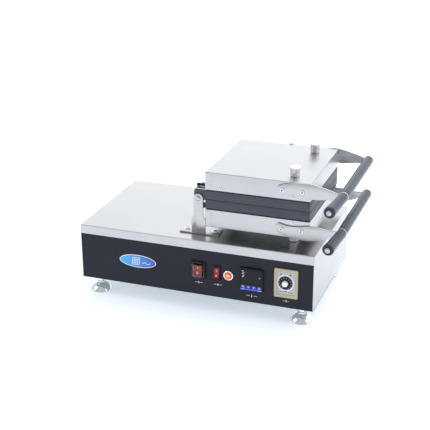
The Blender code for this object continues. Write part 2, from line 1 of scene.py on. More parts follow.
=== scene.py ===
"""Looks of a turn-over waffle iron: steel base with a control panel, and a two-plate head
with long grips that opens and turns over about one rod.

New pieces are surfaces worked out as whole arrays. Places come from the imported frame.
"""

import math

import bmesh
import bpy
import numpy as np
from bpy.props import FloatProperty, FloatVectorProperty, PointerProperty
from mathutils import Matrix, Vector


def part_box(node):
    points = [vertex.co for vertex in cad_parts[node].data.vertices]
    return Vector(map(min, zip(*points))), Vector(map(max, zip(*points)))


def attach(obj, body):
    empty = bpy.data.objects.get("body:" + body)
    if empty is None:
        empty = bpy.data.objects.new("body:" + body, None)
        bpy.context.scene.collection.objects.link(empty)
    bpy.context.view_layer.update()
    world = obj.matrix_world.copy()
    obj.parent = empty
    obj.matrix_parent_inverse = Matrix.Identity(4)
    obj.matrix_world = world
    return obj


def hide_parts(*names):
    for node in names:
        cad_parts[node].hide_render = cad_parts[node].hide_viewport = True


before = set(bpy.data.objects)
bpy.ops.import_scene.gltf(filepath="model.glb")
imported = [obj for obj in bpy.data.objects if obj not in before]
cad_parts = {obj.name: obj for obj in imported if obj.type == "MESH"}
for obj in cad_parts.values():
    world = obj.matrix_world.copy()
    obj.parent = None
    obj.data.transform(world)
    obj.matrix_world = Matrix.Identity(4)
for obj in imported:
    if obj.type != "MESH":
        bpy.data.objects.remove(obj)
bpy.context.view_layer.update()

bl_info = {
    "name": "Turn-over waffle iron",
    "version": (1, 0, 0),
    "blender": (4, 5, 0),
    "location": "3D View > Sidebar > Waffle Iron",
    "description": "Builds the finished surfaces of a turn-over waffle iron",
    "category": "Add Mesh",
}

HALVES = ("lower", "upper")
CORNERS = ("front_left", "front_right", "rear_left", "rear_right")


# Places

def low(node):
    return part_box(node)[0]


def high(node):
    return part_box(node)[1]


def middle(node):
    lowest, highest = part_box(node)
    return (lowest + highest) / 2


def at(x, y, z, turn=Matrix()):
    return Matrix.Translation((x, y, z)) @ turn


HINGE = middle("hinge_rod")
TOP = high("base_cover").z
PANEL = low("front_panel").y
HEAD_LOW, HEAD_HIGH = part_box("upper_casing")
FACING_FRONT = Matrix.Rotation(math.radians(90), 4, "X")
FACING_BACK = Matrix.Rotation(math.radians(-90), 4, "X")
OVER_PARTING = Matrix.Translation((0, 0, HINGE.z))
UNDER_PARTING = OVER_PARTING @ Matrix.Scale(-1, 4, (0, 0, 1))
SIDE = {"upper": OVER_PARTING, "lower": UNDER_PARTING}
EAR_THICK, EAR_RADIUS = 0.003, 0.010
EAR_HALF_WIDTH = 0.0147  # the frame's ears are 0.015, which meets the casings' edges exactly
# A head's radius and height
BRACKET_BOLT, PANEL_SCREW, FLOOR_SCREW = (0.0050, 0.0034), (0.0033, 0.0012), (0.0030, 0.0010)
CASING_SCREW_HEIGHT, ARM_BOLT_HEIGHT = 0.0014, 0.0030
PRINT_THICKNESS = 0.00012
CAMERA_PLACE, CAMERA_LENS, CAMERA_ROLL = (0.66646, -1.91171, 0.98713), 87.94, -0.0046
CAMERA_TURN, CAMERA_FALL = math.radians(19.84), math.radians(22.05)


# Surfaces

def grid_faces(rows, columns, wrap):
    """Quads between the points of a grid of rows, whose columns may close in a ring."""
    row = np.arange(rows - 1)[:, None] * columns
    column = np.arange(columns if wrap else columns - 1)[None, :]
    after = (column + 1) % columns
    quads = (row + column, row + after, row + columns + after, row + columns + column)
    return np.stack(quads, -1).reshape(-1, 4)


class Shape:
    """Gathers grids of points and flat caps, and makes one mesh of them."""

    def __init__(self):
        self.points, self.faces, self.count = [], [], 0

    def add(self, points, faces):
        points = np.asarray(points, float).reshape(-1, 3)
        self.faces += (np.asarray(faces) + self.count).tolist()
        self.points.append(points)
        self.count += len(points)
        return self

    def grid(self, points, wrap=True):
        rows, columns = points.shape[:2]
        return self.add(points, grid_faces(rows, columns, wrap))

    def solid(self, rings):
        """A closed body from a stack of rings: its first and last rings are filled flat."""
        self.grid(rings)
        self.add(rings[0], [list(range(len(rings[0])))[::-1]])
        return self.add(rings[-1], [list(range(len(rings[-1])))])

    def placed(self, place):
        matrix = np.array(place)
        self.points = [p @ matrix[:3, :3].T + matrix[:3, 3] for p in self.points]
        return self

    def join(self, other):
        self.faces += [[corner + self.count for corner in face] for face in other.faces]
        self.points += other.points
        self.count += other.count
        return self

    def piece(self, name, look, body, slot, replaces=(), sharp=38):
        """Merges doubled points, turns the faces outwards and gives the piece to its body."""
        mesh = bpy.data.meshes.new(name)
        mesh.from_pydata(np.concatenate(self.points), [], self.faces)
        work = bmesh.new()
        work.from_mesh(mesh)
        bmesh.ops.remove_doubles(work, verts=work.verts, dist=0.000002)
        bmesh.ops.dissolve_degenerate(work, edges=work.edges, dist=0.000001)
        bmesh.ops.recalc_face_normals(work, faces=work.faces)
        work.to_mesh(mesh)
        work.free()
        mesh.materials.append(look)
        mesh.shade_smooth()
        mesh.set_sharp_from_angle(angle=math.radians(sharp))
        item = bpy.data.objects.new(name, mesh)
        bpy.context.scene.collection.objects.link(item)
        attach(item, body)
        if replaces:
            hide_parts(*replaces)
        return item


def rounded(profile, radius=0.0006, steps=4):
    """A profile whose inner corners are round: each is a quadratic curve between the points a
    radius away on either side of it."""
    points = np.asarray(profile, float)
    before, here, after = points[:-2], points[1:-1], points[2:]
    back, ahead = before - here, after - here
    reach_back = np.linalg.norm(back, axis=1)[:, None]
    reach_ahead = np.linalg.norm(ahead, axis=1)[:, None]
    start = here + back * np.minimum(radius / reach_back, 0.45)
    end = here + ahead * np.minimum(radius / reach_ahead, 0.45)
    t = np.linspace(0, 1, steps)[None, :, None]
    arcs = (1 - t) ** 2 * start[:, None] + 2 * t * (1 - t) * here[:, None] + t ** 2 * end[:, None]
    return np.concatenate([points[:1], arcs.reshape(-1, 2), points[-1:]])


def turned(profile, place=Matrix(), steps=72):
    """Radius and height turned about Z: each point is (r cos a, r sin a, h)."""
    profile = np.asarray(profile, float)
    angle = np.linspace(0, math.tau, steps, endpoint=False)[None, :]
    radius, height = profile[:, :1], profile[:, 1:]
    points = np.stack([
        radius * np.cos(angle), radius * np.sin(angle), height + 0 * angle
    ], -1)
    return Shape().grid(points).placed(place)


def loop(width, depth, corner, steps=6):
    """A rectangle's ring with round corners, about the origin, as an array of x and y."""
    angle = np.linspace(0, math.pi / 2, steps)[None, :] + np.arange(4)[:, None] * math.pi / 2
    signs = np.array(((1, 1), (-1, 1), (-1, -1), (1, -1)), float)
    centre = signs * (np.array((width, depth)) / 2 - corner)
    arc = corner * np.stack([np.cos(angle), np.sin(angle)], -1)
    return (centre[:, None] + arc).reshape(-1, 2)


def stack(ring_of, profile):
    """Rings for a profile of (inset, height) pairs, where ring_of(inset) gives x and y."""
    return np.stack([
        np.column_stack([ring_of(inset), np.full(len(ring_of(inset)), height)])
        for inset, height in profile
    ])


def edge_profile(thickness, radius, steps=4):
    """(inset, height) up the side of a slab with round edges: quarter circles at both ends."""
    angle = np.linspace(0, math.pi / 2, steps)
    lower = np.column_stack([radius * (1 - np.sin(angle)), radius * (1 - np.cos(angle))])
    upper = np.column_stack([lower[::-1, 0], thickness - lower[::-1, 1]])
    return np.concatenate([lower, upper])


def slab(width, depth, thickness, corner, radius):
    """A flat block about the origin in x and y, standing on z = 0, with round edges."""
    def ring_of(inset):
        return loop(width - 2 * inset, depth - 2 * inset, max(corner - inset, 0.00002))
    return Shape().solid(stack(ring_of, edge_profile(thickness, radius)))


def block(lowest, highest, radius=0.0008, corner=None):
    """A box between two corners with round edges."""
    lowest, highest = Vector(lowest), Vector(highest)
    size = highest - lowest
    centre = (lowest + highest) / 2
    body = slab(size.x, size.y, size.z, corner or radius, radius)
    return body.placed(Matrix.Translation((centre.x, centre.y, lowest.z)))


def outward(points):
    """Unit normals of a closed outline of x and y that runs anticlockwise."""
    way = np.roll(points, -1, 0) - np.roll(points, 1, 0)
    normal = np.column_stack([way[:, 1], -way[:, 0]])
    return normal / np.linalg.norm(normal, axis=1)[:, None]


def cut_sheet(outline, thickness, radius):
    """A sheet of any outline with round edges: its rings are the outline, moved inwards."""
    outline = np.asarray(outline, float)
    normal = outward(outline)
    rings = stack(lambda inset: outline - normal * inset, edge_profile(thickness, radius, 3))
    return Shape().solid(rings)


def spline_points(points, steps=8):
    """A Catmull-Rom curve through the points."""
    p = np.asarray(points, float)
    p = np.concatenate([p[:1], p, p[-1:]])
    a, b, c, d = (p[i:len(p) - 3 + i][:, None] for i in range(4))
    t = np.linspace(0, 1, steps, endpoint=False)[None, :, None]
    curve = 0.5 * (2 * b + (c - a) * t + (2 * a - 5 * b + 4 * c - d) * t ** 2
                   + (3 * b - a - 3 * c + d) * t ** 3)
    return np.concatenate([curve.reshape(-1, p.shape[1]), p[-1:]])


def arc(x, y, radius, start, sweep, steps=24):
    angle = np.radians(np.linspace(start, start + sweep, steps))
    return np.column_stack([x + radius * np.cos(angle), y + radius * np.sin(angle)])


def socket_screw(radius, height):
    """A button head: a dome whose middle drops into a hexagon, where the ring's radius is
    a / cos of the angle to the nearest flat."""
    angle = np.linspace(0, math.tau, 48, endpoint=False)
    flat = (angle + math.pi / 6) % (math.pi / 3) - math.pi / 6
    hexagon = 0.42 * radius / np.cos(flat)
    rise = np.linspace(0, math.pi / 2, 7)
    rims = [radius * (0.62 + 0.38 * math.cos(a)) + 0 * angle for a in rise]
    heights = [height * (0.25 + 0.75 * math.sin(a)) for a in rise]
    rims = [radius + 0 * angle, *rims, hexagon, hexagon, 0 * angle]
    heights = [0, *heights, height, 0.35 * height, 0.35 * height]
    rims = [0 * angle, *rims]
    heights = [0, *heights]
    points = np.stack([
        np.column_stack([rim * np.cos(angle), rim * np.sin(angle), z + 0 * angle])
        for rim, z in zip(rims, heights)
    ])
    return Shape().grid(points)


def socket_shade_disc(radius, height):
    """Painted shade in a socket: a dark six-sided disc just above the head's own floor, standing for the
    shadow at the bottom of the recess.
    """
    across = 0.41 * radius / math.cos(math.pi / 6)
    return turned([(0, 0.4 * height), (across, 0.4 * height), (across, 0.62 * height),
                   (0, 0.62 * height)], steps=6)


def several(shape_of, places):
    group = Shape()
    for place in places:
        group.join(shape_of().placed(place))
    return group


# Finishes: shared effects are node groups

def add(tree, kind, links=None, **settings):
    """Adds a node. A link's value is another node's output, or a plain value for the socket."""
    node = tree.nodes.new("ShaderNode" + kind)
    for name, value in settings.items():
        setattr(node, name, value)
    for socket, value in (links or {}).items():
        if isinstance(value, bpy.types.NodeSocket):
            tree.links.new(value, node.inputs[socket])
        else:
            node.inputs[socket].default_value = value
    return node


def mix(tree, mask, first, second):
    """The first colour where the mask is 0, the second where it is 1."""
    node = add(tree, "Mix", {"Factor": mask}, data_type="RGBA")
    for socket, value in ((6, first), (7, second)):
        if isinstance(value, bpy.types.NodeSocket):
            tree.links.new(value, node.inputs[socket])
        else:
            node.inputs[socket].default_value = (*value[:3], 1)
    return node.outputs[2]


def spread(tree, value, low_in, high_in, low_out=0.0, high_out=1.0):
    """Maps a range of a value onto another range, and holds it there."""
    links = {
        "Value": value, "From Min": low_in, "From Max": high_in,
        "To Min": low_out, "To Max": high_out,
    }
    return add(tree, "MapRange", links).outputs[0]


def new_group(name, inputs, outputs):
    group = bpy.data.node_groups.new(name, "ShaderNodeTree")
    for title, kind, value in inputs:
        socket = group.interface.new_socket(title, in_out="INPUT", socket_type="NodeSocket" + kind)
        socket.default_value = value
    for title, kind in outputs:
        group.interface.new_socket(title, in_out="OUTPUT", socket_type="NodeSocket" + kind)
    entry = group.nodes.new("NodeGroupInput")
    leave = group.nodes.new("NodeGroupOutput")
    return group, entry.outputs, leave


def brushed_group():
    """Long fine scratches from noise that is stretched along the grain, over soft smears."""
    group, entry, leave = new_group(
        "Brushed grain",
        (("Stretch", "Vector", (1, 1, 1)), ("Smear size", "Float", 9.0)),
        (("Grain", "Float"), ("Smear", "Float")),
    )
    place = add(group, "TexCoord").outputs["Object"]
    along = add(group, "VectorMath", {0: place, 1: entry["Stretch"]}, operation="MULTIPLY")
    fine = add(group, "TexNoise", {"Vector": along.outputs[0], "Scale": 1.0, "Detail": 3.0})
    soft = add(group, "TexNoise", {
        "Vector": place, "Scale": entry["Smear size"], "Detail": 3.0, "Distortion": 0.6,
    })
    group.links.new(spread(group, fine.outputs[0], 0.25, 0.75), leave.inputs["Grain"])
    group.links.new(spread(group, soft.outputs[0], 0.3, 0.72), leave.inputs["Smear"])
    return group


def speckle_group():
    """Fine even grain from noise, with broad patches, as on moulded plastic or a cast face."""
    group, entry, leave = new_group(
        "Moulded grain",
        (("Grain scale", "Float", 2500.0), ("Patch scale", "Float", 30.0)),
        (("Grain", "Float"), ("Patch", "Float")),
    )
    place = add(group, "TexCoord").outputs["Object"]
    fine = add(group, "TexNoise", {"Vector": place, "Scale": entry["Grain scale"], "Detail": 2.0})
    broad = add(group, "TexNoise", {"Vector": place, "Scale": entry["Patch scale"], "Detail": 3.0})
    group.links.new(spread(group, fine.outputs[0], 0.3, 0.7), leave.inputs["Grain"])
    group.links.new(spread(group, broad.outputs[0], 0.3, 0.7), leave.inputs["Patch"])
    return group


def rub_group():
    """Marks edges and proud corners, where handling polishes a finish: the curvature that
    Pointiness gives, broken up by noise."""
    group, entry, leave = new_group(
        "Edge rub", (("Amount", "Float", 0.5),), (("Rub", "Float"),),
    )
    place = add(group, "TexCoord").outputs["Object"]
    bend = spread(group, add(group, "NewGeometry").outputs["Pointiness"], 0.51, 0.58)
    broken = add(group, "TexNoise", {"Vector": place, "Scale": 160.0, "Detail": 4.0})
    torn = add(group, "Math", {0: bend, 1: broken.outputs[0]}, operation="MULTIPLY")
    rub = add(group, "Math", {0: torn.outputs[0], 1: entry["Amount"]}, operation="MULTIPLY")
    group.links.new(rub.outputs[0], leave.inputs["Rub"])
    return group


GROUPS = {}


def use_group(tree, name, make, **values):
    if name not in GROUPS:
        GROUPS[name] = make()
    node = tree.nodes.new("ShaderNodeGroup")
    node.node_tree = GROUPS[name]
    for title, value in values.items():
        node.inputs[title.replace("_", " ").capitalize()].default_value = value
    return node.outputs


def finish(name, **constants):
    """A material with a Principled shader whose fixed values are set on its own sockets."""
    look = bpy.data.materials.new(name)
    look.use_nodes = True
    shader = look.node_tree.nodes["Principled BSDF"]
    for title, value in constants.items():
        socket = shader.inputs[title.replace("_", " ")]
        socket.default_value = value
    return look, look.node_tree, shader


def bump(tree, shader, height, strength, distance):
    node = add(tree, "Bump", {"Height": height, "Strength": strength, "Distance": distance})
    tree.links.new(node.outputs[0], shader.inputs["Normal"])


ALONG_X, ALONG_Z = (18, 2600, 2600), (2600, 2600, 18)


def steel(name, colour, stretch, roughness, contrast=0.10):
    """Brushed sheet: the grain darkens and roughens it a little, and smears dull it."""
    look, tree, shader = finish(name, Metallic=1.0)
    marks = use_group(tree, "brushed", brushed_group, Stretch=stretch)
    dark = [part * (1 - contrast) for part in colour]
    tone = mix(tree, marks["Grain"], dark, colour)
    soft = mix(tree, spread(tree, marks["Smear"], 0, 1, 0, 0.35), tone, dark)
    tree.links.new(soft, shader.inputs["Base Color"])
    rough = add(tree, "Math", {0: spread(tree, marks["Grain"], 0, 1, 0.05, 0.0),
                               1: spread(tree, marks["Smear"], 0, 1, roughness, roughness + 0.07)},
                operation="ADD")
    tree.links.new(rough.outputs[0], shader.inputs["Roughness"])
    bump(tree, shader, marks["Grain"], 0.06, 0.0001)
    return look


def plastic(name, colour, roughness, grain=0.05, specular=0.5, coat=0.0, patch=0.12):
    """Moulded plastic: a fine skin grain, and patches a little lighter and duller."""
    look, tree, shader = finish(name, Specular_IOR_Level=specular, Coat_Weight=coat)
    marks = use_group(tree, "speckle", speckle_group)
    light = [min(part * (1 + patch) + 0.002, 1) for part in colour]
    tree.links.new(mix(tree, marks["Patch"], colour, light), shader.inputs["Base Color"])
    rough = spread(tree, marks["Patch"], 0, 1, roughness, roughness + 0.08)
    tree.links.new(rough, shader.inputs["Roughness"])
    bump(tree, shader, marks["Grain"], grain, 0.0002)
    return look


def polished(name, colour, roughness):
    """Bright metal with faint wiping marks in its gloss."""
    look, tree, shader = finish(name, Metallic=1.0)
    marks = use_group(tree, "brushed", brushed_group, Stretch=(900, 900, 900), Smear_size=40.0)
    dark = [part * 0.93 for part in colour]
    tree.links.new(mix(tree, marks["Smear"], colour, dark), shader.inputs["Base Color"])
    rough = spread(tree, marks["Smear"], 0, 1, roughness, roughness + 0.05)
    tree.links.new(rough, shader.inputs["Roughness"])
    return look


def cast(name, colour, worn):
    """A machined and seasoned casting: a pebbly skin, uneven tone and paler rubbed edges."""
    look, tree, shader = finish(name, Metallic=0.15, Specular_IOR_Level=0.35)
    marks = use_group(tree, "speckle", speckle_group, Grain_scale=1500.0, Patch_scale=22.0)
    rub = use_group(tree, "rub", rub_group, Amount=0.3)
    deep = [part * 0.78 for part in colour]
    tone = mix(tree, marks["Patch"], deep, colour)
    tree.links.new(mix(tree, rub["Rub"], tone, worn), shader.inputs["Base Color"])
    tree.links.new(spread(tree, marks["Patch"], 0, 1, 0.40, 0.52), shader.inputs["Roughness"])
    bump(tree, shader, marks["Grain"], 0.06, 0.0002)
    return look


def two_tone(name, left, right, start, end):
    """Enamel whose colour runs from one tint to another between two places along X."""
    look, tree, shader = finish(name, Coat_Weight=0.6, Roughness=0.25)
    place = add(tree, "TexCoord").outputs["Object"]
    across = add(tree, "SeparateXYZ", {0: place}).outputs[0]
    tone = mix(tree, spread(tree, across, start, end), left, right)
    tree.links.new(tone, shader.inputs["Base Color"])
    marks = use_group(tree, "speckle", speckle_group)
    bump(tree, shader, marks["Grain"], 0.02, 0.0001)
    return look


def lens_finish(name, rim, heart):
    """A lit lens: the heart of the disc glows paler than its rim, by distance from the centre."""
    look, tree, shader = finish(name, Roughness=0.12, Coat_Weight=0.8)
    centre = middle("pilot_lamp_lens")
    place = add(tree, "TexCoord").outputs["Object"]
    away = add(tree, "VectorMath", {0: place, 1: (centre.x, centre.y, centre.z)},
               operation="SUBTRACT")
    flat = add(tree, "VectorMath", {0: away.outputs[0], 1: (1, 0, 1)}, operation="MULTIPLY")
    distance = add(tree, "VectorMath", {0: flat.outputs[0]}, operation="LENGTH").outputs["Value"]
    facets = add(tree, "TexVoronoi", {"Vector": place, "Scale": 420.0}).outputs["Distance"]
    mask = spread(tree, distance, 0.0018, 0.0056)
    tone = mix(tree, mask, heart, rim)
    tree.links.new(tone, shader.inputs["Base Color"])
    glow = add(tree, "Mix", {"Factor": mask}, data_type="RGBA")
    glow.inputs[6].default_value = (*[0.45 * part for part in heart], 1)
    glow.inputs[7].default_value = (*[0.15 * part for part in rim], 1)
    tree.links.new(glow.outputs[2], shader.inputs["Emission Color"])
    shader.inputs["Emission Strength"].default_value = 1.0
    bump(tree, shader, facets, 0.25, 0.0004)
    return look


def clear_finish(name, tint):
    """Soft clear plastic with a slightly milky gloss."""
    look, tree, shader = finish(
        name, Transmission_Weight=1.0, IOR=1.28, Metallic=0.0, Specular_IOR_Level=0.3,
    )
    marks = use_group(tree, "speckle", speckle_group, Patch_scale=120.0)
    milky = [part * 0.94 for part in tint]
    tree.links.new(mix(tree, marks["Patch"], tint, milky), shader.inputs["Base Color"])
    tree.links.new(spread(tree, marks["Patch"], 0, 1, 0.02, 0.07), shader.inputs["Roughness"])
    return look


FINISHES = {
    "sheet_x": lambda c: steel("Sheet brushed along X", c.sheet, ALONG_X, 0.25),
    "sheet_z": lambda c: steel("Sheet brushed upright", c.sheet, ALONG_Z, 0.27),
    "turned_steel": lambda c: polished("Turned steel", c.sheet, 0.20),
    "knob_metal": lambda c: steel("Turned aluminium", c.aluminium, (400, 400, 3000), 0.30, 0.05),
    "chrome": lambda c: polished("Chrome", c.chrome, 0.06),
    "panel_paint": lambda c: plastic("Panel paint", c.panel, 0.38, 0.10, 0.22),
    # Black plastic for the mouldings, and also the painted shade of the strips under the casings.
    "black_moulding_and_shade": lambda c: plastic("Black moulding and painted shade", c.black, 0.34, 0.06, 0.22),
    "window": lambda c: plastic("Dark window", c.black, 0.22, 0.02, 0.22),
    "red_moulding": lambda c: plastic("Red moulding", c.red, 0.25, 0.03, 0.45),
    "cream_moulding": lambda c: plastic("Cream moulding", c.cream, 0.42, 0.05, 0.4, 0.0, 0.05),
    "grey_moulding": lambda c: plastic("Grey face", c.dial_face, 0.42, 0.03, 0.4, 0.0, 0.05),
    "white_moulding": lambda c: plastic("White moulding", c.white, 0.3, 0.03, 0.5, 0.2, 0.03),
    "key_moulding": lambda c: plastic("Key pad", c.key, 0.3, 0.04, 0.45),
    "key_band": lambda c: plastic("Key band", c.key_band, 0.3, 0.02, 0.45),
    "print_white": lambda c: plastic("White print", c.white, 0.55, 0.02, 0.3, 0.0, 0.02),
    # Dark print for the timer's marks, and also the painted shade of the socket discs.
    "dark_print_and_shade": lambda c: plastic("Dark print and painted shade", c.black, 0.5, 0.02, 0.3),
    "handle_moulding": lambda c: plastic("Handle moulding", c.handle, 0.22, 0.10, 0.30, 0.0, 0.3),
    "casting": lambda c: cast("Seasoned casting", c.casting, (0.22, 0.24, 0.29)),
    "wool": lambda c: plastic("Ceramic wool", c.white, 0.95, 0.9, 0.1, 0.0, 0.1),
    "sheath": lambda c: polished("Heater sheath", (0.32, 0.30, 0.29), 0.35),
    "boot": lambda c: clear_finish("Clear boot", (0.98, 0.97, 0.97)),
    "lens": lambda c: lens_finish("Amber lens", c.lens_rim, c.lens_heart),
    "badge": lambda c: two_tone(
        "Badge enamel", c.badge_left, c.badge_right, low("badge_plate").x, high("badge_plate").x),
}
LOOKS = {}


def look(name):
    if name not in LOOKS:
        LOOKS[name] = FINISHES[name](bpy.context.scene.iron_colours)
    return LOOKS[name]


def dress(node, name, fold=0.0):
    """Gives a frame node its finish, and small round edges where its own are bare."""
    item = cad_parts[node]
    item.data.materials.clear()
    item.data.materials.append(look(name))
    if fold:
        weld = item.modifiers.new("Weld", "WELD")
        weld.merge_threshold = 0.00001
        edges = item.modifiers.new("Bevel", "BEVEL")
        edges.width, edges.segments = fold, 3
        edges.limit_method, edges.angle_limit = "ANGLE", math.radians(40)
        edges.harden_normals = False


# Sizes and colours that a user may change

def size(name, description, default):
    return FloatProperty(name=name, description=description, default=default, unit="LENGTH")


def colour(name, description, default):
    return FloatVectorProperty(
        name=name, description=description, default=default, subtype="COLOR", min=0, max=1,
    )


class IronSizes(bpy.types.PropertyGroup):
    fold: size("Fold radius", "Outer radius of the folds in the sheet", 0.0014)
    cover_lip: size("Cover lip", "Height of the cover's front and back lips", 0.0188)
    sheet: size("Sheet", "Thickness of the cover's sheet", 0.0015)
    casing_sheet: size("Casing sheet", "Thickness of the casings' sheet", 0.0012)
    edge: size("Edge radius", "Radius of small broken edges", 0.0004)
    arm_bolt: size("Arm bolt", "Radius of the arm bolts' heads", 0.0044)
    casing_screw: size("Casing screw", "Radius of the casing screws' heads", 0.0028)
    stud_height: size("Waffle stud", "Height of the studs in the moulds", 0.0095)
    mould_depth: size("Mould depth", "Depth of the waffle moulds", 0.012)
    print_thickness: size("Print thickness", "How far printed marks stand proud", PRINT_THICKNESS)


class IronColours(bpy.types.PropertyGroup):
    sheet: colour("Sheet", "Stainless sheet", (0.53, 0.53, 0.535))
    aluminium: colour("Knobs", "Turned aluminium", (0.84, 0.85, 0.87))
    chrome: colour("Chrome", "Feet, bolts and bezel", (0.86, 0.88, 0.92))
    panel: colour("Panel", "Paint of the control panel", (0.012, 0.0125, 0.024))
    black: colour("Black", "Black mouldings", (0.010, 0.010, 0.014))
    casting: colour("Plates", "Seasoned baking plates", (0.058, 0.066, 0.084))
    handle: colour("Handles", "Moulded grips", (0.024, 0.029, 0.052))
    red: colour("Red", "Rockers", (0.36, 0.008, 0.014))
    cream: colour("Cream", "Timer's frame", (0.50, 0.44, 0.28))
    dial_face: colour("Dial face", "Timer's face", (0.50, 0.51, 0.54))
    white: colour("White", "Knob and prints", (0.86, 0.87, 0.88))
    key: colour("Keys", "Controller's keys", (0.075, 0.085, 0.46))
    key_band: colour("Key band", "Band under the keys", (0.06, 0.14, 0.80))
    lens_rim: colour("Lens rim", "Outer lens", (0.80, 0.06, 0.01))
    lens_heart: colour("Lens heart", "Middle of the lens", (1.0, 0.42, 0.04))
    badge_left: colour("Badge left", "Badge enamel at its left end", (0.03, 0.45, 0.85))
    badge_right: colour("Badge right", "Badge enamel at its right end", (0.01, 0.06, 0.50))


UNDOABLE = {"REGISTER", "UNDO"}


# The base

def lid(lowest, highest, wall, fold, corner):
    """An open-bottomed pan turned over: outer rings rise and fold in along a quarter circle to
    the flat top, and inner rings follow a wall's thickness within."""
    lowest, highest = Vector(lowest), Vector(highest)
    width, depth, height = highest - lowest
    angle = np.linspace(0, math.pi / 2, 7)
    outer = np.column_stack([fold * (1 - np.cos(angle)), height - fold * (1 - np.sin(angle))])
    rim = [(wall, 0.0001), (wall - 0.0003, 0), (0.0003, 0), (0, 0.0001)]
    inner = [(wall + 0.0004, height - wall), (wall, height - wall - 0.0004)]

    def ring_of(inset):
        return loop(width - 2 * inset, depth - 2 * inset, max(corner - inset, 0.0002))
    centre = (lowest + highest) / 2
    shell = Shape().solid(stack(ring_of, np.concatenate([inner, rim, outer])))
    return shell.placed(at(centre.x, centre.y, lowest.z))


class IRON_OT_cover(bpy.types.Operator):
    """Folded cover: a lid with a lip all round, side walls and their bottom flanges."""
    bl_idname, bl_label = "iron.cover", "Cover"
    bl_options = UNDOABLE

    def execute(self, context):
        sizes = context.scene.iron_sizes
        lowest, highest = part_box("base_cover")
        flange = 0.012
        lip = highest.z - sizes.cover_lip
        shape = lid((lowest.x, lowest.y, lip), highest, sizes.sheet, sizes.fold, 0.0012)
        for x, inward in ((lowest.x, 1), (highest.x, -1)):
            wall = sorted((x, x + inward * sizes.sheet))
            foot = sorted((x, x + inward * flange))
            shape.join(block((wall[0], lowest.y, lowest.z), (wall[1], highest.y, lip), 0.0003))
            shape.join(block(
                (foot[0], lowest.y, lowest.z), (foot[1], highest.y, lowest.z + sizes.sheet), 0.0003))
        shape.piece("cover_sheet", look("sheet_x"), "base", "stainless_sheet", ["base_cover"])
        return {"FINISHED"}


class IRON_OT_panels(bpy.types.Operator):
    """Painted front panel, vented back panel and floor plate, with their screws."""
    bl_idname, bl_label = "iron.panels", "Panels"
    bl_options = UNDOABLE

    def execute(self, context):
        sizes = context.scene.iron_sizes
        dress("front_panel", "panel_paint")
        dress("back_panel", "sheet_x")
        dress("bottom_plate", "sheet_x")
        lowest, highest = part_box("back_panel")
        inset, lip = 0.008, sizes.cover_lip + 0.012
        xs = (lowest.x + inset, (lowest.x + highest.x) / 2, highest.x - inset)
        rows = (lowest.z + inset, TOP - lip)
        places = [at(x, highest.y, z, FACING_BACK) for x in xs for z in rows]
        screws = several(lambda: socket_screw(*PANEL_SCREW), places)
        screws.piece("back_panel_screws", look("chrome"), "base", "stainless_turned")
        floor = low("bottom_plate").z
        below = Matrix.Rotation(math.pi, 4, "X")
        places = [at(x, y, floor, below) for x in (xs[0] + 0.03, xs[2] - 0.03) for y in (-0.06, 0.1)]
        screws = several(lambda: socket_screw(*FLOOR_SCREW), places)
        screws.piece("floor_plate_screws", look("chrome"), "base", "stainless_turned")
        return {"FINISHED"}


class IRON_OT_feet(bpy.types.Operator):
    """Chromed bell feet: a flared skirt with a rolled rim, a round collar and a stud."""
    bl_idname, bl_label = "iron.feet", "Feet"
    bl_options = UNDOABLE

    def execute(self, context):
        for corner in CORNERS:
            node = "foot_" + corner
            centre, top = middle(node), high(node).z
            rim = (high(node).x - low(node).x) / 2
            skirt = spline_points([
                (rim - 0.0010, 0.0004), (rim, 0.0016), (rim - 0.0002, 0.0032), (0.0221, 0.0058),
                (0.0200, 0.0094), (0.0170, 0.0128), (0.0134, 0.0158), (0.0100, 0.0179),
            ], 5)
            profile = np.concatenate([
                [(0, 0.0006), (0.016, 0.0006), (0.0175, 0), (0.0215, 0)], skirt,
                rounded([(0.0092, 0.0181), (0.0076, 0.0181), (0.0076, 0.0208), (0.0050, 0.0208),
                         (0.0050, top - 0.014), (0.0040, top - 0.014), (0.0040, top), (0, top)]),
            ])
            foot = turned(profile, at(centre.x, centre.y, 0))
            foot.piece(
                "bell_foot_" + corner, look("chrome"), corner + "_foot", "chrome", [node])
        return {"FINISHED"}


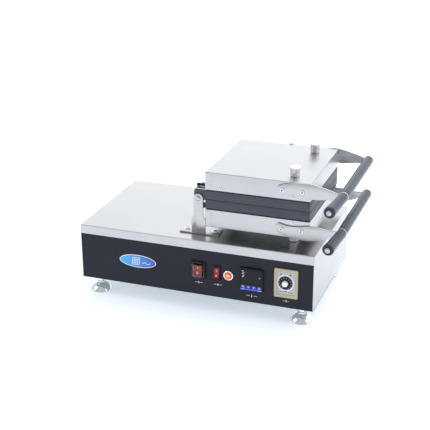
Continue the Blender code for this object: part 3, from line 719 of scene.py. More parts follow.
class IRON_OT_hinge(bpy.types.Operator):
    """Hinge brackets with round-topped ears and no bores, their foot bolts, and the headed rod."""
    bl_idname, bl_label = "iron.hinge", "Hinge"
    bl_options = UNDOABLE

    def execute(self, context):
        sizes = context.scene.iron_sizes
        thick, narrow, wide = EAR_THICK, EAR_RADIUS, EAR_HALF_WIDTH
        rise = TOP - HINGE.z
        ear = [(wide, rise + 0.001), (wide, rise + 0.0335), (wide - 0.0012, rise + 0.036),
               (narrow + 0.0008, rise + 0.0395), (narrow, rise + 0.042)]
        ear = np.concatenate([ear, arc(0, 0, narrow, 0, 180, 40), np.array(ear[::-1]) * (-1, 1)])
        for end in ("front", "rear"):
            node = "hinge_bracket_" + end
            lowest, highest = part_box(node)
            outer, inner, inwards = lowest.y, highest.y, 1
            if end == "rear":
                outer, inner, inwards = highest.y, lowest.y, -1
            back = max(outer, outer + inwards * thick)
            shape = cut_sheet(ear, thick, sizes.edge)
            shape.placed(at(HINGE.x, back, HINGE.z, FACING_FRONT))
            foot = sorted((outer + inwards * 0.0006, inner))
            shape.join(block(
                (lowest.x, foot[0], lowest.z), (highest.x, foot[1], lowest.z + thick),
                sizes.edge, 0.003))
            name = "hinge_ear_" + end
            shape.piece(name, look("sheet_z"), "base", "stainless_plate", [node])
            places = [at(HINGE.x + side * 0.0295, (outer + inner) / 2, lowest.z + thick)
                      for side in (-1, 1)]
            bolts = several(lambda: socket_screw(*BRACKET_BOLT), places)
            washers = several(lambda: turned(rounded(
                [(0, 0), (0.0066, 0), (0.0066, 0.0008), (0, 0.0008)], 0.0003)), places)
            bolts.join(washers)
            bolts.piece("bracket_bolts_" + end, look("chrome"), "base", "stainless_turned")
            # Dark discs in the bolts' sockets: painted shade at the bottom of each recess.
            socket_shades = several(lambda: socket_shade_disc(*BRACKET_BOLT), places)
            socket_shades.piece("bracket_socket_shades_" + end, look("dark_print_and_shade"), "base", "black_plastic")
        lowest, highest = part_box("hinge_rod")
        half = (highest.y - lowest.y) / 2
        ears = half - 0.0032
        neck = 0.0515
        end = [(0, half), (0.0030, half), (0.0053, half - 0.0018), (0.0053, ears),
               (0.0040, ears), (0.0040, neck), (0.0070, neck)]
        profile = rounded(end + [(radius, -height) for radius, height in end[::-1]], 0.0005)
        rod = turned(profile, at(HINGE.x, HINGE.y, HINGE.z, FACING_BACK))
        rod.piece("hinge_shaft", look("turned_steel"), "base", "stainless_turned", ["hinge_rod"])
        return {"FINISHED"}


# The controls

KNOB_SHARE = 0.62  # how proud the timer's knob is, as a share of its frame node


def on_face(node, share):
    """The place on a node's front, at a share of its height: a ray from the front finds it."""
    lowest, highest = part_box(node)
    start = Vector(((lowest.x + highest.x) / 2, lowest.y - 0.01,
                    lowest.z + share * (highest.z - lowest.z)))
    hit, point, normal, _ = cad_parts[node].ray_cast(start, Vector((0, 1, 0)))
    if not hit:
        raise ValueError(f"no face of {node} in front of its middle")
    across = Vector((1, 0, 0))
    turn = Matrix((across, normal.cross(across), normal)).transposed().to_4x4()
    return Matrix.Translation(point - normal * 0.00002) @ turn


class IRON_OT_switches(bpy.types.Operator):
    """Power rocker under a clear boot, and the smaller alarm rocker, in black frames."""
    bl_idname, bl_label = "iron.switches", "Switches"
    bl_options = UNDOABLE

    def execute(self, context):
        dress("power_switch_body", "black_moulding_and_shade", 0.0005)
        dress("alarm_switch_body", "black_moulding_and_shade", 0.0003)
        dress("power_rocker", "red_moulding", 0.0006)
        dress("alarm_rocker", "red_moulding", 0.0005)
        lowest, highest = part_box("power_switch_boot")
        width, depth, height = highest - lowest
        boot = lid((-width / 2, -height / 2, 0), (width / 2, height / 2, depth), 0.0010,
                   0.0030, 0.0030)
        centre = (lowest + highest) / 2
        boot.placed(at(centre.x, highest.y, centre.z, FACING_FRONT))
        boot.piece("clear_boot", look("boot"), "base", "clear_boot", ["power_switch_boot"])
        for node, body, reach in (
            ("power_rocker", "power_paddle", 0.0038), ("alarm_rocker", "alarm_paddle", 0.0026),
        ):
            marks = ring_mark(reach * 0.34, reach * 0.62).placed(on_face(node, 0.24))
            bar = ribbon([(0, -reach * 0.6), (0, reach * 0.6)], reach * 0.3)
            marks.join(bar.placed(on_face(node, 0.72)))
            marks.piece(node + "_mark", look("print_white"), body, "white_plastic")
        return {"FINISHED"}


def ribbon(points, width, thickness=PRINT_THICKNESS, closed=False):
    """A flat stroke along a line: its two edges lie half a width to either side of it."""
    points = np.asarray(points, float)
    if closed:
        ahead, behind = np.roll(points, -1, 0), np.roll(points, 1, 0)
    else:
        ahead = np.concatenate([points[1:], points[-1:]])
        behind = np.concatenate([points[:1], points[:-1]])
    way = ahead - behind
    side = np.column_stack([-way[:, 1], way[:, 0]]) / np.linalg.norm(way, axis=1)[:, None]
    left, right = points + side * width / 2, points - side * width / 2
    flat = [np.column_stack([edge, np.full(len(edge), z)])
            for edge, z in ((left, 0), (left, thickness), (right, thickness), (right, 0))]
    section = np.stack(flat, 1)
    if closed:
        section = np.concatenate([section, section[:1]])
        return Shape().grid(section)
    return Shape().solid(section)


def ring_mark(inner, outer, thickness=PRINT_THICKNESS):
    return ribbon(arc(0, 0, (inner + outer) / 2, 0, 360, 33)[:-1], outer - inner, thickness, True)


class IRON_OT_lamp(bpy.types.Operator):
    """Pilot lamp: a bright ring round a faceted amber lens."""
    bl_idname, bl_label = "iron.lamp", "Pilot lamp"
    bl_options = UNDOABLE

    def execute(self, context):
        lowest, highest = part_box("pilot_lamp_bezel")
        ring, deep = (highest.x - lowest.x) / 2, PANEL - highest.y
        centre = (lowest + highest) / 2
        place = at(centre.x, PANEL, centre.z, FACING_FRONT)
        proud = PANEL - lowest.y
        bezel = rounded([
            (0, deep), (0.0080, deep), (0.0080, 0.0003), (ring, 0.0003), (ring, proud - 0.0008),
            (ring - 0.0010, proud), (0.0080, proud), (0.0073, proud - 0.0010), (0.0073, -0.010),
            (0, -0.010),
        ], 0.0004)
        turned(bezel, place).piece(
            "lamp_ring", look("chrome"), "base", "chrome", ["pilot_lamp_bezel"])
        tip = PANEL - low("pilot_lamp_lens").y
        dome = np.linspace(0, math.pi / 2, 10)
        lens = np.concatenate([
            [(0, -0.0097), (0.0070, -0.0097), (0.0070, 0.0016)],
            np.column_stack([0.0068 * np.cos(dome), 0.0018 + (tip - 0.0018) * np.sin(dome)]),
        ])
        turned(lens, place).piece(
            "lamp_lens", look("lens"), "base", "amber_lens", ["pilot_lamp_lens"])
        return {"FINISHED"}


class IRON_OT_controller(bpy.types.Operator):
    """Temperature controller: window, keys with their symbols, and indicator marks."""
    bl_idname, bl_label = "iron.controller", "Temperature controller"
    bl_options = UNDOABLE

    def execute(self, context):
        sizes = context.scene.iron_sizes
        dress("controller_body", "black_moulding_and_shade", 0.0006)
        dress("controller_window", "window", 0.0002)
        lowest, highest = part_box("controller_body")
        face, centre = lowest.y, (lowest.x + highest.x) / 2
        for name in ("set", "shift", "down", "up"):
            node = "key_" + name
            dress(node, "key_moulding", 0.0005)
            key_low, key_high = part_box(node)
            place = at((key_low.x + key_high.x) / 2, key_low.y, (key_low.z + key_high.z) / 2,
                       FACING_FRONT)
            arrow = {"set": None, "shift": 180, "down": 270, "up": 90}[name]
            if arrow is None:
                mark = ring_mark(0.0011, 0.0017)
            else:
                turn = Matrix.Rotation(math.radians(arrow), 4, "Z")
                mark = cut_sheet([(-0.0013, -0.0015), (0.0018, 0), (-0.0013, 0.0015)],
                                 sizes.print_thickness, 0.00002).placed(turn)
            mark.placed(place).piece(
                node + "_mark", look("print_white"), name + "_key", "white_plastic")
        key_low = low("key_set")
        band = block((centre - 0.0226, face - 0.0002, lowest.z + 0.0012),
                     (centre + 0.0226, face + 0.0004, key_low.z - 0.0008), 0.0002)
        band.piece("key_band", look("key_band"), "base", "blue_plastic")
        marks = Shape()
        top = high("controller_window").z
        for row in range(5):
            x = low("controller_window").x + 0.0024 + 0.0016 * (row % 2)
            z = top - 0.0035 - 0.0031 * row
            marks.join(block((x, face - 0.0001, z), (x + 0.0034, face + 0.0012, z + 0.0012), 0.0001))
        x = high("controller_window").x - 0.0052
        marks.join(block((x, face - 0.0001, top - 0.0150), (x + 0.0018, face + 0.0012, top - 0.0136),
                         0.0001))
        for side in (-1, 1):
            x = centre + side * 0.017
            marks.join(block((x - 0.0034, face - 0.0004, lowest.z + 0.0022),
                             (x + 0.0034, face - 0.0001, lowest.z + 0.0029), 0.0001))
        marks.piece("controller_marks", look("print_white"), "base", "white_plastic")
        return {"FINISHED"}


class IRON_OT_timer(bpy.types.Operator):
    """Dial timer: cream frame, grey face with its scale, dark dial ring and white knob."""
    bl_idname, bl_label = "iron.timer", "Timer"
    bl_options = UNDOABLE

    def execute(self, context):
        dress("timer_frame", "cream_moulding", 0.0006)
        dress("timer_body", "grey_moulding")
        dial, face = middle("timer_dial"), low("timer_body").y
        place = at(dial.x, face, dial.z, FACING_FRONT)
        ring = (high("timer_dial").x - low("timer_dial").x) / 2
        profile = rounded([
            (0.0046, 0.0003), (ring, 0.0003), (ring, 0.0014), (ring - 0.0010, 0.0022),
            (0.0080, 0.0024), (0.0046, 0.0026), (0.0046, 0.0003)], 0.0002)
        turned(profile, place).piece(
            "dial_ring", look("black_moulding_and_shade"), "timer_setting", "black_plastic", ["timer_dial"])
        tip = KNOB_SHARE * (face - low("timer_knob").y)
        inside = face - high("timer_knob").y
        knob = rounded([
            (0, inside), (0.0030, inside), (0.0030, -0.0002), (0.0043, 0.0005), (0.0043, 0.0029),
            (0.0062, 0.0029), (0.0058, tip - 0.0008), (0.0050, tip), (0, tip)], 0.0004)
        turned(knob, place).piece(
            "dial_knob", look("white_moulding"), "timer_setting", "white_plastic", ["timer_knob"])
        pointer = block((-0.0006, 0.0062, 0.0024), (0.0006, ring - 0.0012, 0.0027), 0.0001)
        pointer.placed(place @ Matrix.Rotation(math.radians(135), 4, "Z"))
        pointer.piece("dial_pointer", look("red_moulding"), "timer_setting", "red_plastic")
        ticks = Shape()
        for step in range(12):
            turn = Matrix.Rotation(math.radians(150 - 27 * step), 4, "Z")
            tick = block((-0.00028, ring - 0.0038, 0.0021), (0.00028, ring - 0.0016, 0.00245), 0.00005)
            ticks.join(tick.placed(place @ turn))
        ticks.piece("dial_ticks", look("print_white"), "timer_setting", "white_plastic")
        scale = ring_mark(ring + 0.0008, ring + 0.0034)
        scale.placed(place).piece("scale_ring", look("white_moulding"), "base", "white_plastic")
        marks = Shape()
        for step in range(31):
            length = 0.0020 if step % 5 == 0 else 0.0012
            turn = Matrix.Rotation(math.radians(150 - 10 * step), 4, "Z")
            start = ring + 0.0010
            tick = block((-0.00018, start, 0.0001), (0.00018, start + length, 0.0002), 0.00003)
            marks.join(tick.placed(place @ turn))
        lowest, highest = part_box("timer_body")
        for x in (-1, 1):
            dot = turned([(0, 0), (0.0016, 0), (0.0016, 0.0003), (0, 0.0003)], steps=24)
            marks.join(dot.placed(at(dial.x + x * 0.0098, face, highest.z - 0.0046, FACING_FRONT)))
            for number in range(3):
                x_low = dial.x + x * (0.0062 + 0.0034 * number) - 0.0011
                marks.join(block((x_low, face - 0.0001, lowest.z + 0.0042),
                                 (x_low + 0.0022, face + 0.0001, lowest.z + 0.0056), 0.00005))
        marks.piece("timer_marks", look("dark_print_and_shade"), "base", "black_plastic")
        red = block((dial.x - 0.0036, face - 0.0002, lowest.z + 0.0058),
                    (dial.x + 0.0030, face + 0.0001, lowest.z + 0.0080), 0.0001)
        red.piece("timer_red_mark", look("red_moulding"), "base", "red_plastic")
        return {"FINISHED"}


class IRON_OT_badge(bpy.types.Operator):
    """Oval badge: domed enamel in a bright rim, with a plain waffle grid and a wave."""
    bl_idname, bl_label = "iron.badge", "Badge"
    bl_options = UNDOABLE

    def execute(self, context):
        lowest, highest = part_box("badge_plate")
        centre = (lowest + highest) / 2
        long, tall = (highest.x - lowest.x) / 2, (highest.z - lowest.z) / 2
        thick = highest.y - lowest.y
        angle = np.linspace(0, math.tau, 96, endpoint=False)

        def oval(inset):
            return np.column_stack([(long - inset) * np.cos(angle), (tall - inset) * np.sin(angle)])
        place = at(centre.x, highest.y, centre.z, FACING_FRONT)
        rim = [(0, 0), (0, thick - 0.0002), (0.0002, thick), (0.0011, thick), (0.0013, thick - 0.0003),
               (0.0014, 0)]
        Shape().solid(stack(oval, rim)).placed(place).piece(
            "badge_rim", look("chrome"), "base", "chrome", ["badge_plate"])
        inset = np.linspace(0.0013, tall - 0.0002, 12)
        dome = thick - 0.0003 + 0.00035 * (1 - ((tall - inset) / tall) ** 2)
        profile = np.concatenate([[(0.0013, 0.0001)], np.column_stack([inset, dome])])
        Shape().solid(stack(oval, profile)).placed(place).piece(
            "badge_enamel", look("badge"), "base", "blue_badge")
        grid = Shape()
        half, pitch = 0.0078, 0.0039
        for number in range(-2, 3):
            for turn in (0, 90):
                line = ribbon([(-half, number * pitch), (half, number * pitch)], 0.0011, 0.0004)
                grid.join(line.placed(Matrix.Rotation(math.radians(turn), 4, "Z")))
        lean = Matrix(((1, 0.12, 0, 0), (0, 1, 0, 0), (0, 0, 1, 0), (0, 0, 0, 1)))
        grid.placed(place @ at(-0.004, 0, thick - 0.0002) @ lean)
        wave = spline_points([(0.010, -0.004), (0.016, -0.001), (0.022, -0.0045), (0.028, -0.0015)], 8)
        grid.join(ribbon(wave, 0.0012, 0.0004).placed(place @ at(0, 0, thick - 0.0002)))
        grid.piece("badge_grid", look("print_white"), "base", "white_plastic")
        return {"FINISHED"}


def power_icon():
    ring = ribbon(arc(0, 0, 0.0019, 125, 290, 24), 0.0006)
    return ring.join(ribbon([(0, 0.0004), (0, 0.0026)], 0.0006))


def bell_icon():
    sides = [(-0.0022, -0.0012), (-0.0015, -0.0006), (-0.0014, 0.0008), (0, 0.0022),
             (0.0014, 0.0008), (0.0015, -0.0006), (0.0022, -0.0012)]
    return cut_sheet(sides[::-1], PRINT_THICKNESS, 0.00002).join(
        ribbon([(-0.0006, -0.0019), (0.0006, -0.0019)], 0.0007))


def thermometer_icon():
    return ribbon([(0, -0.0008), (0, 0.0025)], 0.0009).join(
        turned([(0, 0), (0.0011, 0), (0.0011, PRINT_THICKNESS), (0, PRINT_THICKNESS)],
               at(0, -0.0016, 0), 24))


def clock_icon():
    return ring_mark(0.0018, 0.0023).join(
        ribbon([(0, 0.0014), (0, 0), (0.0010, -0.0006)], 0.0004))


class IRON_OT_icons(bpy.types.Operator):
    """Printed signs under the controls, each between two dashes."""
    bl_idname, bl_label = "iron.icons", "Printed signs"
    bl_options = UNDOABLE

    def execute(self, context):
        signs = (
            (power_icon, "power_switch_body", low("power_switch_body").z - 0.0098, 0.0075),
            (bell_icon, "pilot_lamp_bezel", low("power_switch_body").z - 0.0088, 0.0085),
            (thermometer_icon, "controller_body", low("controller_body").z - 0.0126, 0.0115),
            (clock_icon, "timer_frame", low("timer_frame").z - 0.0088, 0.0065),
        )
        prints = Shape()
        for icon, node, z, reach in signs:
            x = middle(node).x
            if node == "pilot_lamp_bezel":
                x = (x + middle("alarm_switch_body").x) / 2 - 0.0105
            place = at(x, PANEL, z, FACING_FRONT)
            prints.join(icon().placed(place))
            for side in (-1, 1):
                dash = ribbon([(side * 0.0038, 0), (side * reach, 0)][::side], 0.0007)
                prints.join(dash.placed(place))
        prints.piece("panel_signs", look("print_white"), "base", "white_plastic")
        return {"FINISHED"}


# The head

STUDS, STUD_PITCH, STUD_TOP = (6, 4), (0.0275, 0.0250), (0.0055, 0.0050)
STUD_SLOPE, WALL_SLOPE = 0.0032, 0.0016
MOULD_FROM_MIDDLE = 0.053
LUGS = {"upper": (0.004, 0.032), "lower": (0.0465,)}
LUG_WIDTH = 0.012
CASING_SCREWS_ALONG, CASING_SCREW_RISE = (0.0336, 0.1803), 0.0052
WELD_INSET, WELD_ALONG = 0.0085, 0.0100
ARM_ENDS = {"upper": (0.0454, 0.0330), "lower": (0.0420, 0.0310)}
ARM_BOLTS_FROM_ROD, ARM_BOLT_RISE = (0.1745, 0.2145), 0.0403
FRONT_GRIP_LENGTH, FRONT_GRIP_LEAN = 0.086, math.radians(4)


def waffle_heights(x, y, sizes):
    """Depth of a mould below the plate's face. It is the least of a ramp in from the wall and the
    mould's depth, less the studs: each stud is a ramp up from its foot, held at its height."""
    pitch_x, pitch_y = STUD_PITCH
    half_x, half_y = STUDS[0] * pitch_x / 2, STUDS[1] * pitch_y / 2
    from_wall = np.minimum(half_x - np.abs(x), half_y - np.abs(y))
    depth = np.clip(from_wall / WALL_SLOPE, 0, 1) * sizes.mould_depth
    in_x = np.abs((x + half_x) % pitch_x - pitch_x / 2)
    in_y = np.abs((y + half_y) % pitch_y - pitch_y / 2)
    from_top = np.maximum(in_x - STUD_TOP[0], in_y - STUD_TOP[1])
    rise = np.clip(1 - from_top / STUD_SLOPE, 0, 1)
    rise = np.where(from_wall > 0, rise, 0)
    return np.maximum(depth - rise * sizes.stud_height, 0)


def grid_lines(pitch, count, top, slope=STUD_SLOPE, edge=WALL_SLOPE):
    """Lines across a mould where its shape bends: at the wall's foot, and at each stud's foot
    and top, with a line on either side of each bend to keep it crisp."""
    half = pitch * count / 2
    bends = (-top - slope, -top - slope * 0.5, -top, top, top + slope * 0.5, top + slope)
    near = np.array([-0.0003, 0.0003])
    centres = -half + pitch * (np.arange(count) + 0.5)
    lines = (centres[:, None, None] + np.array(bends)[None, :, None] + near[None, None]).ravel()
    walls = [-half, -half + edge - 0.0002, -half + edge + 0.0002]
    return np.unique(np.concatenate([lines, walls, [-wall for wall in walls]]).round(6))


class IRON_OT_plates(bpy.types.Operator):
    """Cast baking plates: broken edges, two moulds of blunt studs each, and hinge lugs."""
    bl_idname, bl_label = "iron.plates", "Baking plates"
    bl_options = UNDOABLE

    def execute(self, context):
        sizes = context.scene.iron_sizes
        for half in HALVES:
            node = half + "_plate"
            lowest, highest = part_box(node)
            left, right = HEAD_LOW.x + 0.0005, highest.x
            front, back = lowest.y, highest.y
            face, outer = 0.00015, 0.019
            centre_x, centre_y = (HEAD_LOW.x + HEAD_HIGH.x) / 2, (HEAD_LOW.y + HEAD_HIGH.y) / 2
            across, along = (
                grid_lines(*values) for values in zip(STUD_PITCH, STUDS, STUD_TOP))
            rim = np.array([0, 0.0002, 0.0008])
            xs = np.concatenate([left + rim, centre_x + across, right - rim[::-1]])
            ys = np.concatenate([front + rim, centre_y - MOULD_FROM_MIDDLE + along,
                                 centre_y + MOULD_FROM_MIDDLE + along, back - rim[::-1]])
            x, y = np.meshgrid(xs, ys)
            mould_y = np.abs(y - centre_y) - MOULD_FROM_MIDDLE
            depth = waffle_heights(x - centre_x, mould_y, sizes)
            inset = np.minimum.reduce([x - left, right - x, y - front, back - y])
            drop = 0.0008 * np.clip(1 - inset / 0.0008, 0, 1) ** 2
            heights = face + depth + drop
            shape = Shape().grid(np.stack([x, y, heights], -1), wrap=False)
            around = np.concatenate([
                np.stack([x[0, :-1], y[0, :-1]], -1), np.stack([x[:-1, -1], y[:-1, -1]], -1),
                np.stack([x[-1, :0:-1], y[-1, :0:-1]], -1), np.stack([x[:0:-1, 0], y[:0:-1, 0]], -1),
            ])
            pull = (np.array((centre_x, centre_y)) - around)
            pull = np.sign(pull) * (np.abs(np.abs(pull) - (np.abs(pull).max(0))) < 0.0001)
            rings = np.stack([
                np.column_stack([around + pull * inset, np.full(len(around), height)])
                for inset, height in ((0, face + 0.0008), (0, outer - 0.0006), (0.0002, outer - 0.0002),
                                      (0.0006, outer))
            ])
            shape.grid(rings)
            shape.add(rings[-1], [list(range(len(around)))])
            shape.placed(SIDE[half])
            for start in LUGS[half]:
                for y_low in (front - 0.0005 + start, back + 0.0005 - start - LUG_WIDTH):
                    shape.join(self.lug(y_low, outer).placed(SIDE[half]))
            shape.piece(
                "baking_plate_" + half, look("casting"), half + "_half", "cast_plate", [node], 30)
        return {"FINISHED"}

    def lug(self, y_low, outer):
        """A solid cheek about the rod, with no bore: straight above, an arc below."""
        inside = HEAD_LOW.x + 0.004 - HINGE.x
        outline = np.concatenate([
            [(inside, 0.0006), (inside, outer - 0.0003), (-0.0070, outer - 0.0003)],
            spline_points([(-0.0070, outer - 0.0003), (-0.0092, outer - 0.0030), (-0.0099, 0.0090),
                           (-0.0100, 0.0)], 5)[1:],
            arc(0, 0, 0.010, 180, 118, 24)[1:],
        ])
        cheek = cut_sheet(outline, LUG_WIDTH, 0.0006)
        return cheek.placed(at(HINGE.x, y_low + LUG_WIDTH, 0, FACING_FRONT))


class IRON_OT_casings(bpy.types.Operator):
    """Folded casings over the heaters, with mitred end tabs, spot welds, screws, and dark strips under
    their edges that are painted shade for the shadow in the gap.
    """
    bl_idname, bl_label = "iron.casings", "Casings"
    bl_options = UNDOABLE

    def execute(self, context):
        sizes = context.scene.iron_sizes
        for half in HALVES:
            node = half + "_casing"
            lowest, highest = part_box(node)
            near = (lowest.z - HINGE.z) if half == "upper" else (HINGE.z - highest.z)
            far = (highest.z - HINGE.z) if half == "upper" else (HINGE.z - lowest.z)
            shell = lid((lowest.x, lowest.y, near), (highest.x, highest.y, far),
                        sizes.casing_sheet, sizes.fold, 0.0010)
            shell.placed(SIDE[half])
            shell.piece("casing_" + half, look("sheet_x"), half + "_half", "stainless_sheet", [node])
            tab, mitre, thick = 0.0142, 0.0060, 0.00035
            outline = [(0.0006, near + 0.0010), (tab, near + mitre), (tab, far - mitre),
                       (0.0006, far - 0.0012)]
            tabs, welds, screws, socket_shades = Shape(), Shape(), Shape(), Shape()
            for y, faces in ((lowest.y, FACING_FRONT), (highest.y, FACING_BACK)):
                flip = 1 if y == lowest.y else -1
                points = np.array(outline) * (1, flip)
                if flip < 0:
                    points = points[::-1]
                place = SIDE[half] @ at(lowest.x, y, 0, faces)
                tabs.join(cut_sheet(points, thick, 0.00012).placed(place))
                for height in (near + WELD_INSET, (near + far) / 2, far - WELD_INSET):
                    spot = turned([(0, 0), (0.0011, thick), (0.0009, thick + 0.00012),
                                   (0, thick + 0.00016)], steps=20)
                    welds.join(spot.placed(place @ at(WELD_ALONG, flip * height, 0)))
                for x in CASING_SCREWS_ALONG:
                    height = near + CASING_SCREW_RISE
                    screw = socket_screw(sizes.casing_screw, CASING_SCREW_HEIGHT)
                    screws.join(screw.placed(place @ at(x, flip * height, 0)))
                    # A dark disc in the screw's socket: painted shade at the bottom of the recess.
                    socket = socket_shade_disc(sizes.casing_screw, CASING_SCREW_HEIGHT)
                    socket_shades.join(socket.placed(place @ at(x, flip * height, 0)))
            body = half + "_half"
            tabs.piece("casing_tabs_" + half, look("sheet_z"), body, "stainless_sheet")
            welds.piece("spot_welds_" + half, look("turned_steel"), body, "stainless_sheet")
            screws.piece("casing_screws_" + half, look("chrome"), body, "stainless_turned")
            socket_shades.piece("casing_socket_shades_" + half, look("dark_print_and_shade"), body, "black_plastic")
            # Dark strips just inside each casing's bottom edge: painted shade standing for the shadow in
            # the gap between casing and plate.
            gap_shade, edge_low, edge_high = Shape(), near - 0.0020, near - 0.0001
            left, right = lowest.x + 0.0040, highest.x - 0.0012
            for y in (lowest.y + 0.0012, highest.y - 0.0032):
                gap_shade.join(block((left, y, edge_low), (right, y + 0.0020, edge_high), 0.0003))
            gap_shade.join(block((right - 0.0018, lowest.y + 0.0034, edge_low),
                            (right, highest.y - 0.0034, edge_high), 0.0003))
            gap_shade.placed(SIDE[half])
            gap_shade.piece("casing_gap_shade_" + half, look("black_moulding_and_shade"), body, "black_plastic")
            for part, name, slot in (
                ("mount_plate", "sheet_x", "stainless_sheet"), ("heater", "sheath", "heater_sheath"),
                ("insulation", "wool", "ceramic_wool"),
            ):
                dress(half + "_" + part, name)
        return {"FINISHED"}


class IRON_OT_knobs(bpy.types.Operator):
    """Aluminium rests on the casings, each with a neck on a flat seat and a flanged head."""
    bl_idname, bl_label = "iron.knobs", "Rests"
    bl_options = UNDOABLE

    def execute(self, context):
        for half in HALVES:
            for end in ("front", "rear"):
                node = f"{half}_standoff_{end}"
                lowest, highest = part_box(node)
                centre = (lowest + highest) / 2
                height, rim = highest.z - lowest.z, (highest.x - lowest.x) / 2
                profile = rounded([
                    (0, 0), (0.0085, 0), (0.0085, 0.0018), (0.0097, 0.0026),
                    (0.0097, height - 0.0052), (0.0104, height - 0.0046), (rim, height - 0.0038),
                    (rim, height - 0.0012), (rim - 0.0011, height - 0.0001),
                    (0.0040, height), (0, height),
                ], 0.0006)
                base = lowest.z if half == "upper" else highest.z
                flip = Matrix.Scale(1 if half == "upper" else -1, 4, (0, 0, 1))
                knob = turned(profile, at(centre.x, centre.y, base, flip))
                knob.piece(f"rest_{half}_{end}", look("knob_metal"), half + "_half",
                           "aluminium_turned", [node])
        return {"FINISHED"}


class IRON_OT_arms(bpy.types.Operator):
    """Leaf-shaped arms with their bolts. Outlines are distances from the rod and heights from
    the parting plane."""
    bl_idname, bl_label = "iron.arms", "Arms"
    bl_options = UNDOABLE

    def execute(self, context):
        sizes = context.scene.iron_sizes
        for half in HALVES:
            grip = middle(half + "_long_grip")
            reach, height = grip.x - HINGE.x, abs(grip.z - HINGE.z)
            tip = high(half + "_arm_front").x - grip.x
            outer_end, inner_end = ARM_ENDS[half]
            outer = [(0.162, 0.0420), (0.167, 0.0490), (0.187, 0.0555), (0.210, 0.0583),
                     (0.230, 0.0590), (0.259, 0.0530), (0.2845, outer_end)]
            inner = [(0.2845, inner_end), (0.264, 0.0310), (0.247, 0.0285), (0.230, 0.0280),
                     (0.211, 0.0315), (0.193, 0.0331), (0.179, 0.0314), (0.168, 0.0290),
                     (0.162, 0.0350)]
            start = math.degrees(math.atan2(outer_end - height, outer[-1][0] - reach))
            end = math.degrees(math.atan2(inner_end - height, inner[0][0] - reach))
            sweep = (start - end) % 360
            outline = np.concatenate([
                spline_points(outer, 8)[:-1], arc(reach, height, tip, start, -sweep, 40),
                spline_points(inner, 8)[1:],
                spline_points([inner[-1], (0.1612, 0.0385), outer[0]], 5)[1:-1],
            ])[::-1]
            bolts, socket_shades = Shape(), Shape()
            for side in ("front", "rear"):
                node = f"{half}_arm_{side}"
                lowest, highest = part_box(node)
                thick = highest.y - lowest.y
                arm = cut_sheet(outline, thick, sizes.edge)
                arm.placed(SIDE[half] @ at(HINGE.x, highest.y, 0, FACING_FRONT))
                arm.piece(f"handle_arm_{half}_{side}", look("sheet_z"), half + "_half",
                          "stainless_plate", [node])
                face, turn = (lowest.y, FACING_FRONT) if side == "front" else (highest.y, FACING_BACK)
                for x in ARM_BOLTS_FROM_ROD:
                    place = SIDE[half] @ at(HINGE.x + x, face, ARM_BOLT_RISE, turn)
                    bolts.join(socket_screw(sizes.arm_bolt, ARM_BOLT_HEIGHT).placed(place))
                    # A dark disc in the bolt's socket: painted shade at the bottom of the recess.
                    socket_shades.join(socket_shade_disc(sizes.arm_bolt, ARM_BOLT_HEIGHT).placed(place))
            bolts.piece("arm_bolts_" + half, look("chrome"), half + "_half", "stainless_turned")
            socket_shades.piece("arm_socket_shades_" + half, look("dark_print_and_shade"), half + "_half", "black_plastic")
        return {"FINISHED"}


class IRON_OT_grips(bpy.types.Operator):
    """Moulded grips: a long one between the arms, and a flared one in front with its bolt."""
    bl_idname, bl_label = "iron.grips", "Grips"
    bl_options = UNDOABLE

    def execute(self, context):
        for half in HALVES:
            body = half + "_half"
            lowest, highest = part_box(half + "_long_grip")
            centre, length = (lowest + highest) / 2, highest.y - lowest.y
            radius = (highest.z - lowest.z) / 2
            round_end = np.linspace(0, math.pi / 2, 8)
            profile = np.concatenate([
                rounded([(0, 0.016), (0.0045, 0.016), (0.0045, 0), (radius - 0.0006, 0),
                         (radius, 0.0006), (radius, 0.020)], 0.0003),
                np.column_stack([radius + 0 * round_end, np.linspace(0.03, length - 0.010, 8)]),
                np.column_stack([radius - 0.0045 * (1 - np.cos(round_end)),
                                 length - 0.0045 * (1 - np.sin(round_end))]),
                [(0, length)],
            ])
            place = at(centre.x, lowest.y, centre.z, FACING_BACK)
            turned(profile, place).piece(
                "long_handle_" + half, look("handle_moulding"), body, "handle_bakelite",
                [half + "_long_grip"])
            front = low(half + "_arm_front").y - 0.0003
            tilted = Matrix.Rotation(-FRONT_GRIP_LEAN, 4, "Z") @ FACING_FRONT
            place = at(centre.x, front, centre.z, tilted)
            end = FRONT_GRIP_LENGTH
            flare = (high(half + "_front_grip").z - low(half + "_front_grip").z) / 2
            swell = spline_points([
                (0.0094, 0.0012), (0.0098, 0.0060), (0.0100, 0.030), (0.0106, 0.060),
                (flare - 0.0001, end - 0.008), (flare, end - 0.004),
            ], 6)
            lip = np.column_stack([flare - 0.0032 * (1 - np.cos(round_end)),
                                   end - 0.0036 * (1 - np.sin(round_end))])
            profile = np.concatenate([
                [(0.0035, 0.0008), (0.0090, 0.0008)], swell, lip,
                rounded([(flare - 0.0036, end), (0.0064, end), (0.0058, end - 0.0014),
                         (0.0035, end - 0.0014)], 0.0002), [(0.0035, 0.0008)],
            ])
            turned(profile, place).piece(
                "front_handle_" + half, look("handle_moulding"), body, "handle_bakelite",
                [half + "_front_grip"])
            head = end - 0.0009
            dome = np.linspace(0, math.pi / 2, 7)
            bolt = np.concatenate([
                [(0, -0.015), (0.0030, -0.015), (0.0030, head), (0.0053, head),
                 (0.0053, head + 0.0018)],
                np.column_stack([0.0024 + 0.0029 * np.cos(dome), head + 0.0018 + 0.0022 * np.sin(dome)]),
                [(0.0020, head + 0.0032), (0.0004, head + 0.0030), (0, head + 0.0030)],
            ])
            turned(bolt, place).piece(
                "handle_bolt_" + half, look("turned_steel"), body, "chrome", [half + "_grip_bolt"])
        return {"FINISHED"}


